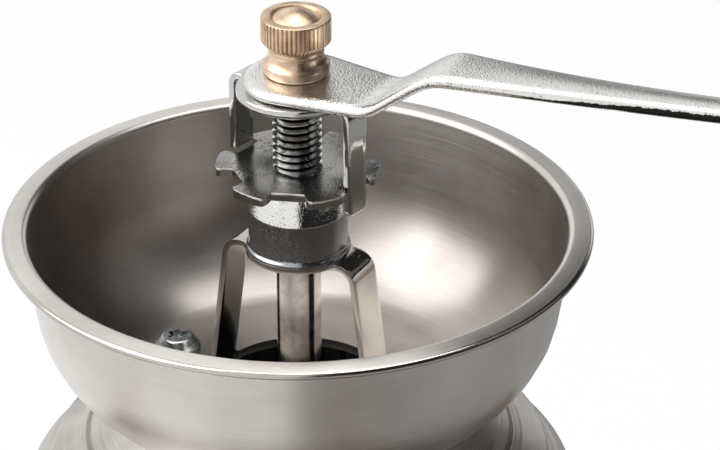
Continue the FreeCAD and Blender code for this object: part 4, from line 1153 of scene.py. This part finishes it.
@dataclass
class Shaft:
    """The rod in the cage, its thread, the adjusting wheel and the lock over it."""

    bottom: float = 84.2
    rod: float = 3.7
    journal: float = 4.0
    thread: float = 3.98
    core: float = 3.15
    flats: float = 3.45
    pitch: float = 1.25
    journal_low: float = 144.7
    journal_high: float = 158.2
    lock: float = 173.0
    hub_top: float = 176.9
    top: float = 186.3
    wheel_low: float = 158.85
    wheel_thick: float = 1.45
    wheel_radius: float = 13.2
    wheel_bore: float = 3.9
    notches: int = 6
    notch_floor: float = 10.2
    notch_corner: Pair = (10.54, 14.56)
    notch_mouth: float = 14.93
    lock_sheet: float = 1.4
    lock_radius: float = 9.7
    lock_bore: float = 4.03
    lock_facets: int = 52
    lock_reach: float = 12.3
    lock_bend: float = 2.3
    long_end: float = 155.3
    short_end: float = 160.45
    lock_turn: float = -9.0

    def build(self) -> None:
        """Make the shaft, the wheel and the lock bracket."""
        hand_over(self.shaft(), SHAFT_STEEL, "rotor", "drive_shaft")
        hand_over(self.wheel(), WHEEL_CHROME, "rotor", "adjusting_wheel")
        hand_over(self.bracket(), SHEET_CHROME, "rotor", "lock_bracket")

    def shaft(self) -> Piece:
        """Turn the core, wind the two runs of thread round it and flatten the upper one.

        Returns:
            The shaft.
        """
        thread_low, thread_high = self.journal_high + 0.5, self.top - 3.2
        core = turned("shaft", [
            (0, self.bottom), (2.5, self.bottom, 0.4), (2.5, 91.2), (3.2, 91.2), (3.2, 94.4), (self.rod, 94.4),
            (self.rod, self.journal_low), (self.journal, self.journal_low), (self.journal, self.journal_high, 0.2),
            (self.core, thread_low), (self.core, thread_high), (3.2, self.top - 2.9), (0, self.top - 2.9)], 64)
        lower = self.ridge("lower_thread", thread_low, self.lock)
        upper = self.ridge("upper_thread", self.hub_top, thread_high)
        bpy.ops.object.mode_set(mode="EDIT")
        for side in BOTH:
            bpy.ops.mesh.select_all(action="SELECT")
            bpy.ops.mesh.bisect(plane_co=(0, self.flats * side * MM, 0), plane_no=(0, side, 0), use_fill=True,
                                clear_outer=True)
        return joined(core, lower, upper)

    def ridge(self, name: str, low: float, high: float) -> Piece:
        """Wind one run of thread: a small trapezium that a screw modifier carries up the shaft.

        Args:
            name: Name of the run.
            low: Where it starts.
            high: Where it ends.

        Returns:
            The closed ridge.
        """
        half = self.pitch * 0.46
        inner, outer = self.core - 0.06, self.thread
        piece = drawn(name, [(inner, 0, low), (outer, 0, low + half - 0.09), (outer, 0, low + half + 0.09),
                             (inner, 0, low + half * 2)])
        turns = int((high - low - half * 2) / self.pitch)
        shape_with(piece, "SCREW", axis="Z", angle=TURN, screw_offset=self.pitch * MM, iterations=turns, steps=40,
                   render_steps=40, use_merge_vertices=True, merge_threshold=MERGE * MM)
        bpy.ops.object.mode_set(mode="EDIT")
        cap_ends()
        bpy.ops.object.mode_set(mode="OBJECT")
        return piece

    def wheel(self) -> Piece:
        """Draw one tab of the notched wheel, copy it round, fill it and raise it.

        Returns:
            The wheel, its top face with a finish of its own.
        """
        def polar(radius: float, degrees: float) -> Trio:
            """Give a point of the outline."""
            angle = math.radians(degrees + self.lock_turn)
            return (radius * math.cos(angle), radius * math.sin(angle), self.wheel_low)

        step, (corner, flank), edge = 360 / self.notches, self.notch_corner, self.notch_mouth
        tab = [polar(self.notch_floor, 0), polar(corner, flank), polar(self.wheel_radius, edge)]
        tab += [polar(self.wheel_radius, degrees) for degrees in (20, 25, 30, 35, 40)]
        tab += [polar(self.wheel_radius, step - edge), polar(corner, step - flank), polar(self.notch_floor, step)]
        piece = drawn("adjusting_wheel_disc", tab, closed=False)
        for point in (tab[2], tab[-3]):
            ease(point, 0.95)
        copy_round(self.notches)
        bpy.ops.mesh.primitive_circle_add(vertices=48, radius=self.wheel_bore * MM,
                                          location=(0, 0, self.wheel_low * MM))
        bpy.ops.mesh.select_all(action="SELECT")
        bpy.ops.mesh.fill()
        bpy.ops.mesh.select_all(action="SELECT")
        bpy.ops.mesh.extrude_region_move(TRANSFORM_OT_translate={"value": (0, 0, self.wheel_thick * MM)})
        close_up()
        soften(piece, 0.3)
        finish_apart(piece, SHEET_CHROME, (WHEEL_CHROME, lambda middle, normal: normal.z > 0.99))
        return piece

    def bracket(self) -> Piece:
        """Pull two tabs out of a ring and bend them down into the long and the short leg.

        Returns:
            The bracket.
        """
        top = self.lock + self.lock_sheet
        piece = flat_ring("lock_bracket_sheet", self.lock_facets, self.lock_radius, self.lock_bore, top)
        half = self.lock_radius * math.sin(TURN * 2 / self.lock_facets)
        bend_x = self.lock_reach - self.lock_bend
        for side, end, corner in ((1, self.long_end, 1.2), (-1, self.short_end, 0.4)):
            pull_tab(side, half, self.lock_radius, bend_x)
            bend_edge(90 * side, (bend_x * side, top - self.lock_bend))
            pull_edge(z=end - top + self.lock_bend)
            for y in (half, -half):
                ease((self.lock_reach * side, y, end), corner)
        thicken(piece, self.lock_sheet, 0.35)
        settle(piece, (0, 0, self.lock_turn))
        return piece


@dataclass
class Crank:
    """The cast arm, its thumb nut and the turned grip on its end."""

    hub_top: float = 176.9
    thick: float = 2.5
    crown: float = 0.3
    flat: float = 0.72
    hub: float = 9.3
    hub_back: float = 8.0
    hub_x: float = 1.58
    side_x: float = 78.37
    side_y: float = 454.29
    side_curve: float = 451.7
    low_bend: Pair = (15.7, 2.6)
    high_bend: Pair = (25.8, 3.6)
    level_bend: Pair = (92.0, 4.0)
    rise_slope: float = 0.762
    bar_slope: float = 0.05
    tip_slope: float = 0.135
    climb: float = 13.8
    reach: float = 106.0
    eye: float = 7.0
    neck: float = 4.0
    eye_join: float = 4.5
    nut_top: float = 186.55
    nut_bore: float = 4.05
    nut_head: float = 5.6
    knurls: int = 48
    knurl_depth: float = 0.945
    pin_bore: float = 2.55

    def build(self) -> None:
        """Make arm, nut and grip."""
        hand_over(self.arm(), ARM_CHROME, "rotor", "crank_arm", angle=45)
        hand_over(self.nut(), NUT_BRASS, "nut", "thumb_nut")
        hand_over(self.grip(), KNOB_WOOD, "grip", "crank_knob")
        dress(NUT_BRASS, "knob_pin", "knob_washer")

    @staticmethod
    def smooth(share: float) -> float:
        """Ease a share in and out."""
        return share * share * (3 - 2 * share)

    def half_width(self, x: float) -> float:
        """Work out half the arm's width: round at the hub, hollow along the bar, round at the eye.

        Args:
            x: Distance from the shaft.

        Returns:
            Half the width.
        """
        if x < self.hub_x:
            share = x / (self.hub if x > 0 else self.hub_back)
            return self.hub * math.sqrt(max(1 - share ** 2, 0.0))
        start, end = self.reach - self.eye - self.neck, self.reach - self.eye_join
        if x > end:
            return math.sqrt(max(self.eye ** 2 - (x - self.reach) ** 2, 0.0))
        side = self.side_y - math.sqrt(self.side_curve ** 2 - (x - self.side_x) ** 2)
        if x < start:
            return side
        goal = math.sqrt(self.eye ** 2 - self.eye_join ** 2)
        return side + (goal - side) * self.smooth((x - start) / (end - start))

    def slope(self, x: float) -> float:
        """Work out how steeply the arm climbs.

        Args:
            x: Distance from the shaft.

        Returns:
            The slope.
        """
        def done(bend: Pair) -> float:
            """Give the share of a bend, by its middle and half its length, that is done."""
            return self.smooth(min(max((x - bend[0] + bend[1]) / (2 * bend[1]), 0.0), 1.0))

        run = (x - self.high_bend[0]) / (self.level_bend[0] - self.high_bend[0])
        bar = self.bar_slope + (self.tip_slope - self.bar_slope) * run
        up = self.rise_slope * done(self.low_bend)
        bent = up + (bar - up) * done(self.high_bend)
        return bent * (1 - done(self.level_bend))

    def stations(self) -> list[float]:
        """List where the arm has an edge across it: close on the round ends and in the bends.

        Returns:
            Distances from the shaft.
        """
        back = [-self.hub_back * math.cos(math.radians(angle)) for angle in range(6, 91, 6)]
        hub = [1.6, 3.2, 5, 7, 9, 11]
        bends = [12 + 0.7 * step for step in range(28)]
        bar = [32 + 1.0 * step for step in range(70)]
        front = [self.reach - self.eye_join + 0.75 * step for step in range(6)]
        front += [self.reach + self.eye * math.sin(math.radians(angle)) for angle in range(6, 85, 6)]
        return back + hub + bends + bar + front

    def section(self) -> list[Corner]:
        """Draw half of the arm's section: crowned, with a round side.

        Returns:
            Points as shares of the half width and depths under the top.
        """
        flat, middle = self.flat, self.thick / 2
        shoulder = self.crown * flat * flat
        half = [(0.0, 0.0), (flat / 2, shoulder / 4), (flat, shoulder)]
        for angle in range(12, 181, 12):
            drop = math.cos(math.radians(angle))
            rise = middle - shoulder if drop > 0 else middle
            half.append((flat + (1 - flat) * math.sin(math.radians(angle)), middle - rise * drop))
        return half + [(flat / 2, self.thick), (0.0, self.thick)]

    def thinned(self, x: float) -> float:
        """Give the share of the arm's thickness that its rounded ends leave at a distance from the shaft."""
        inside = min(x + self.hub_back, self.reach + self.eye - x, self.thick / 2)
        return math.sqrt(1 - (1 - inside * 2 / self.thick) ** 2)

    def arm(self) -> Piece:
        """Pull a closed section along the arm from station to station and close its ends.

        Returns:
            The arm.
        """
        stations = self.stations()
        width, full = self.half_width(stations[0]), self.thinned(stations[0])
        middle = self.hub_top - self.thick / 2
        half = self.section()
        piece = drawn("crank_arm_casting", [
            (stations[0], width * share * side, middle + (self.thick / 2 - depth) * full)
            for side, points in ((1, half), (-1, half[-2:0:-1])) for share, depth in points])
        pick(Pick.EDGE, lambda at: True)
        heights = [0.0]
        for here, there in zip(stations, stations[1:]):
            heights.append(heights[-1] + self.slope((here + there) / 2) * (there - here))
        scale = self.climb / heights[-1]
        for index in range(1, len(stations)):
            wide, thin = self.half_width(stations[index]), self.thinned(stations[index])
            pull_edge(stations[index] - stations[index - 1], (heights[index] - heights[index - 1]) * scale)
            level = (middle + heights[index] * scale) * MM
            bpy.ops.transform.resize(value=(1, wide / width, thin / full), center_override=(0, 0, level))
            width, full = wide, thin
        cap_ends()
        return piece

    def nut(self) -> Piece:
        """Turn the nut and press grooves into its head.

        Returns:
            The nut.
        """
        foot, top, bore, head = self.hub_top, self.nut_top, self.nut_bore, self.nut_head
        piece = turned("thumb_nut_knurled", [
            (0, top + 1.0), (2.2, top + 0.7, 1.4), (3.72, top - 0.3, 0.3), (3.92, top - 0.5, 0.1),
            (4.1, top, 0.08), (head - 0.15, top, 0.1), (head, top - 0.2, 0.1), (head, top - 3.95, 0.12),
            (4.5, top - 5.1, 0.1), (4.36, top - 5.3, 0.1), (4.5, top - 5.75, 0.25), (4.36, top - 6.3, 0.1),
            (4.6, top - 7.3, 0.45), (5.33, top - 8.1, 0.25), (5.33, foot + 0.35, 0.2), (5.1, foot),
            (bore, foot), (bore, top - 2.6), (0, top - 2.6)], self.knurls * 4)
        groove = TURN / self.knurls
        pick(Pick.VERT, lambda at: at.z < top - 0.1 and at.xy.length > 4.6 and at.z > top - 5.2
             and abs((math.atan2(at.y, at.x) / groove + 0.5) % 1 - 0.5) < 0.1)
        draw_in(self.knurl_depth)
        return piece

    def grip(self) -> Piece:
        """Turn the grip: a beaded foot, a waist and a round head with a sunk rivet.

        Returns:
            The grip.
        """
        bore, foot, seat = self.pin_bore, 191.9, 225.6
        return turned("crank_knob_turned", [
            (bore, foot), (7.4, foot, 0.6), (8.9, 194.4, 1.8), (7.6, 197.4, 1.7), (8.2, 203.5, 3.0),
            (13.0, 212.0, 4.6), (13.9, 220.5, 4.3), (9.6, 227.0, 2.6), (5.6, 227.9, 0.5), (5.3, 227.4, 0.2),
            (5.3, seat), (bore, seat)], 96, self.reach)


@dataclass
class DrawerBox:
    """The wooden box under the dome and its drawer."""

    base: Trio = (62.0, 2.0, 11.0)
    deck: Trio = (59.0, 67.0, 76.0)
    corner: float = 5.0
    edge: float = 3.0
    foot_edge: float = 0.6
    drop_hole: float = 27.0
    face_low: Trio = (-43.7, -53.0, 11.3)
    face_high: Trio = (43.7, -43.0, 54.7)
    face_edge: float = 2.0
    knob_height: float = 33.0
    knob_bore: float = 1.85

    def build(self) -> None:
        """Make the two shaped boards and the drawer's front and knob, and dress the plain boards."""
        hand_over(self.board("base_plinth", self.base, False), BOARD_WALNUT, "housing", "base_board")
        hand_over(self.deck_board(), BOARD_WALNUT, "housing", "top_board")
        hand_over(self.front(), BOARD_WALNUT, "drawer", "drawer_front")
        hand_over(self.knob(), NUT_BRASS, "drawer", "drawer_knob")
        dress(WALL_WALNUT, "left_wall", "right_wall")
        dress(BOARD_WALNUT, "rear_wall", "front_rail")
        dress(DRAWER_BEECH, "drawer_left_side", "drawer_right_side", "drawer_back", "drawer_bottom")
        dress(SCREW_ZINC, "drawer_knob_screw")
        dress(PAD_FELT, "felt_pad")

    def board(self, name: str, size: Trio, both: bool) -> Piece:
        """Shape a square board.

        Args:
            name: Name of the piece.
            size: Half its side, its underside and its top.
            both: Whether the lower edge is rounded too.

        Returns:
            The board in edit mode.
        """
        half, low, high = size
        piece = block(name, (-half, -half, low), (half, half, high))
        pick(Pick.EDGE, lambda at: abs(at.z - (low + high) / 2) < LEVEL)
        round_edges(self.corner, 8)
        pick(Pick.EDGE, lambda at: abs(at.z - high) < LEVEL or both and abs(at.z - low) < LEVEL)
        round_edges(self.edge, 6)
        if not both:
            pick(Pick.EDGE, lambda at: abs(at.z - low) < LEVEL)
            round_edges(self.foot_edge, 2)
        return piece

    def deck_board(self) -> Piece:
        """Shape the upper board and cut its drop hole.

        Returns:
            The upper board.
        """
        piece = self.board("deck_board", self.deck, True)
        leave_all()
        bpy.ops.mesh.primitive_cylinder_add(vertices=96, radius=self.drop_hole * MM, depth=30 * MM,
                                            location=(0, 0, 71.5 * MM))
        cut_away(piece, bpy.context.object)
        return piece

    def front(self) -> Piece:
        """Shape the drawer's front with soft edges.

        Returns:
            The front in edit mode.
        """
        piece = block("drawer_face", self.face_low, self.face_high)
        pick(Pick.EDGE, lambda at: abs(at.y - self.face_low[1]) < LEVEL)
        round_edges(self.face_edge, 6)
        return piece

    def knob(self) -> Piece:
        """Turn the drawer's knob upright, then lay its axis along -Y.

        Returns:
            The knob.
        """
        piece = turned("drawer_knob_turned", [
            (self.knob_bore, 0), (5.4, 0, 0.4), (5.1, 1.6, 0.5), (4.1, 4.0, 1.0), (4.3, 6.6, 1.0), (8.3, 9.6, 0.8),
            (8.4, 12.0, 1.0), (6.2, 15.4, 1.6), (0, 16.0), (0, 8.0), (self.knob_bore, 8.0)], 64)
        settle(piece, (90, 0, 0), (0, self.face_low[1], self.knob_height))
        return piece


@dataclass
class InnerWorks:
    """Burrs, bushes and fasteners inside the dome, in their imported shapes."""

    def build(self) -> None:
        """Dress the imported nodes."""
        dress(BURR_IRON, "outer_ring_burr", "inner_cone_burr")
        dress(BUSH_BRONZE, "bridge_bush", "guide_bush")
        dress(SCREW_ZINC, "lower_guide_bar", "guide_screws", "burr_washer", "burr_nut")


@dataclass
class Studio:
    """Pale floor, soft light and the camera at the photograph's angle. Its lengths are in metres."""

    camera_turn: float = 30.0
    camera_height: float = 28.3865
    distance: float = 0.4876635
    aim_turn: float = 1.34366
    aim_down: float = 28.47808
    lens: float = 150.0
    sensor: float = 36.0
    rim: float = 0.150
    floor_radius: float = 4.0
    floor_drop: float = 0.0002
    floor_glow: float = 0.88
    floor_shade: float = 0.34
    shade_fades: Pair = (0.5, 1.0)
    contact_fades: Pair = (0.07, 0.14)
    contact_shade: float = 0.08
    white_side: Trio = (-0.866, -0.5, 0.0)
    soft_box: Trio = (-4.33, -2.5, 0.3)
    back_board: Trio = (-0.105, 0.989, 0.1)
    room_shade: float = 0.02
    soft_light: float = 0.45

    def build(self) -> None:
        """Set up everything round the object."""
        bpy.context.scene.view_settings.view_transform = "Standard"
        self.camera()
        self.floor()
        self.world()
        self.lamps()

    def camera(self) -> None:
        """Place the camera where it was fitted to the photograph's edges."""
        turn = Matrix.Rotation(math.radians(self.camera_turn), 3, "Z")
        height, aim, down = (math.radians(value) for value in (self.camera_height, self.aim_turn, self.aim_down))
        place = turn @ Vector((0, -self.distance * math.cos(height), self.distance * math.sin(height)))
        ahead = turn @ Vector((math.sin(aim) * math.cos(down), math.cos(aim) * math.cos(down), -math.sin(down)))
        right = turn @ Vector((math.cos(aim), -math.sin(aim), 0))
        data = bpy.data.cameras.new("camera")
        data.lens = self.lens
        data.sensor_width = self.sensor
        data.clip_start = 0.01
        camera = bpy.data.objects.new("camera", data)
        camera.matrix_world = Matrix((right, right.cross(ahead), -ahead)).transposed().to_4x4()
        camera.location = place + Vector((0, 0, self.rim))
        bpy.context.scene.collection.objects.link(camera)
        bpy.context.scene.camera = camera

    def floor(self) -> None:
        """Lay a white sweep that keeps the object's shadow; gloss sees it white on one side, dark by the base."""
        leave_all()
        bpy.ops.mesh.primitive_circle_add(vertices=64, radius=self.floor_radius, fill_type="NGON",
                                          location=(0, 0, -self.floor_drop))
        floor = bpy.context.object
        floor.name = "floor"
        paint = bpy.data.materials.new("white_floor")
        paint.use_nodes = True
        tree = paint.node_tree
        shader = fit(tree.nodes["Principled BSDF"], {"Base Color": linear("#fafafa"), "Roughness": 0.9})
        ray = add(tree, "LightPath").outputs
        seen = add(tree, "Math", {"operation": "MAXIMUM"}, {0: ray["Is Camera Ray"], 1: ray["Is Glossy Ray"]})
        share = add(tree, "Math", {"operation": "MULTIPLY", 1: self.floor_glow}, {0: seen})
        place = add(tree, "TexCoord").outputs["Object"]
        way = add(tree, "VectorMath", {"operation": "NORMALIZE"}, {0: place})
        white_side = self.bright_side(tree, way, self.white_side, (-0.16, 0.16), 0.0)
        away = add(tree, "VectorMath", {"operation": "LENGTH"}, {0: place})
        shade = add(tree, "MapRange", {FROM_LOW: self.shade_fades[0], FROM_HIGH: self.shade_fades[1],
                                       TO_LOW: self.floor_shade, TO_HIGH: self.room_shade}, {0: away})
        side = add(tree, "Math", {"operation": "MAXIMUM"}, {0: white_side, 1: shade})
        clear = add(tree, "MapRange", {"interpolation_type": "SMOOTHSTEP", FROM_LOW: self.contact_fades[0],
                                       FROM_HIGH: self.contact_fades[1], TO_LOW: self.contact_shade, TO_HIGH: 1.0},
                    {0: away})
        level = add(tree, "Math", {"operation": "MULTIPLY"}, {0: side, 1: clear})
        glow = add(tree, "Math", {"operation": "MAXIMUM"}, {0: ray["Is Camera Ray"], 1: level})
        white = add(tree, "Emission", {"Color": (1, 1, 1, 1)}, {"Strength": glow})
        mix = add(tree, "MixShader", links={0: share, 1: shader, 2: white})
        fit(tree.nodes["Material Output"], links={0: mix})
        floor.data.materials.append(paint)

    def bright_side(self, tree: Tree, way: Node | Socket, towards: Trio, edge: Pair, shade: float) -> Node:
        """Light for gloss: white towards one side, shade on the other.

        Args:
            tree: The tree that gets the nodes.
            way: Direction or place that is tested.
            towards: Where the white side lies.
            edge: Where, along that, shade ends and white starts.
            shade: Strength on the dark side.

        Returns:
            The node that gives the strength.
        """
        side = add(tree, "VectorMath", {"operation": "DOT_PRODUCT", 1: towards}, {0: way})
        return add(tree, "MapRange", {"interpolation_type": "SMOOTHSTEP", FROM_LOW: edge[0], FROM_HIGH: edge[1],
                                      TO_LOW: shade, TO_HIGH: 1.0}, {0: side})

    def world(self) -> None:
        """Give the camera white, gloss a wall, a board behind and a dark side, and the rest even soft light."""
        world = bpy.data.worlds.new("studio")
        bpy.context.scene.world = world
        world.use_nodes = True
        tree = world.node_tree
        way = add(tree, "TexCoord").outputs["Generated"]
        wall = self.bright_side(tree, way, self.soft_box, (-0.4, 0.25), self.room_shade)
        board = self.bright_side(tree, way, self.back_board, (0.9, 1.0), 0.0)
        room = add(tree, "Math", {"operation": "MAXIMUM"}, {0: wall, 1: board})
        ray = add(tree, "LightPath").outputs
        level = add(tree, "Mix", {"data_type": "FLOAT", 2: self.soft_light}, {0: ray["Is Glossy Ray"], 3: room})
        seen = add(tree, "Mix", {"data_type": "FLOAT", 3: 1.0}, {0: ray["Is Camera Ray"], 2: level})
        fit(tree.nodes["Background"], {"Color": (1, 1, 1, 1)}, {"Strength": seen})

    def lamps(self) -> None:
        """Hang a soft lamp high on the left and weak ones overhead and on the right."""
        for name, place, size, watts in (("key", (-0.52, -0.40, 0.78), 0.85, 6.0),
                                         ("top", (0.02, 0.16, 0.85), 0.5, 2.2),
                                         ("right", (0.645, 0.52, 0.71), 0.6, 0.2)):
            data = bpy.data.lights.new(name, "AREA")
            data.size = size
            data.energy = watts
            lamp = bpy.data.objects.new(name, data)
            lamp.location = place
            lamp.rotation_euler = (Vector((0, 0, self.rim)) - Vector(place)).to_track_quat("-Z", "Y").to_euler()
            bpy.context.scene.collection.objects.link(lamp)


def main() -> None:
    """Build the mill's sub-assemblies in order, then the studio."""
    logging.basicConfig(level=logging.INFO, format="%(message)s")
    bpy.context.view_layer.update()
    for part in (Hopper(), Bridge(), Shaft(), Crank(), DrawerBox(), InnerWorks(), Studio()):
        part.build()
        LOG.info("%s done", type(part).__name__)
    bpy.context.view_layer.update()


if __name__ == "__main__":
    main()
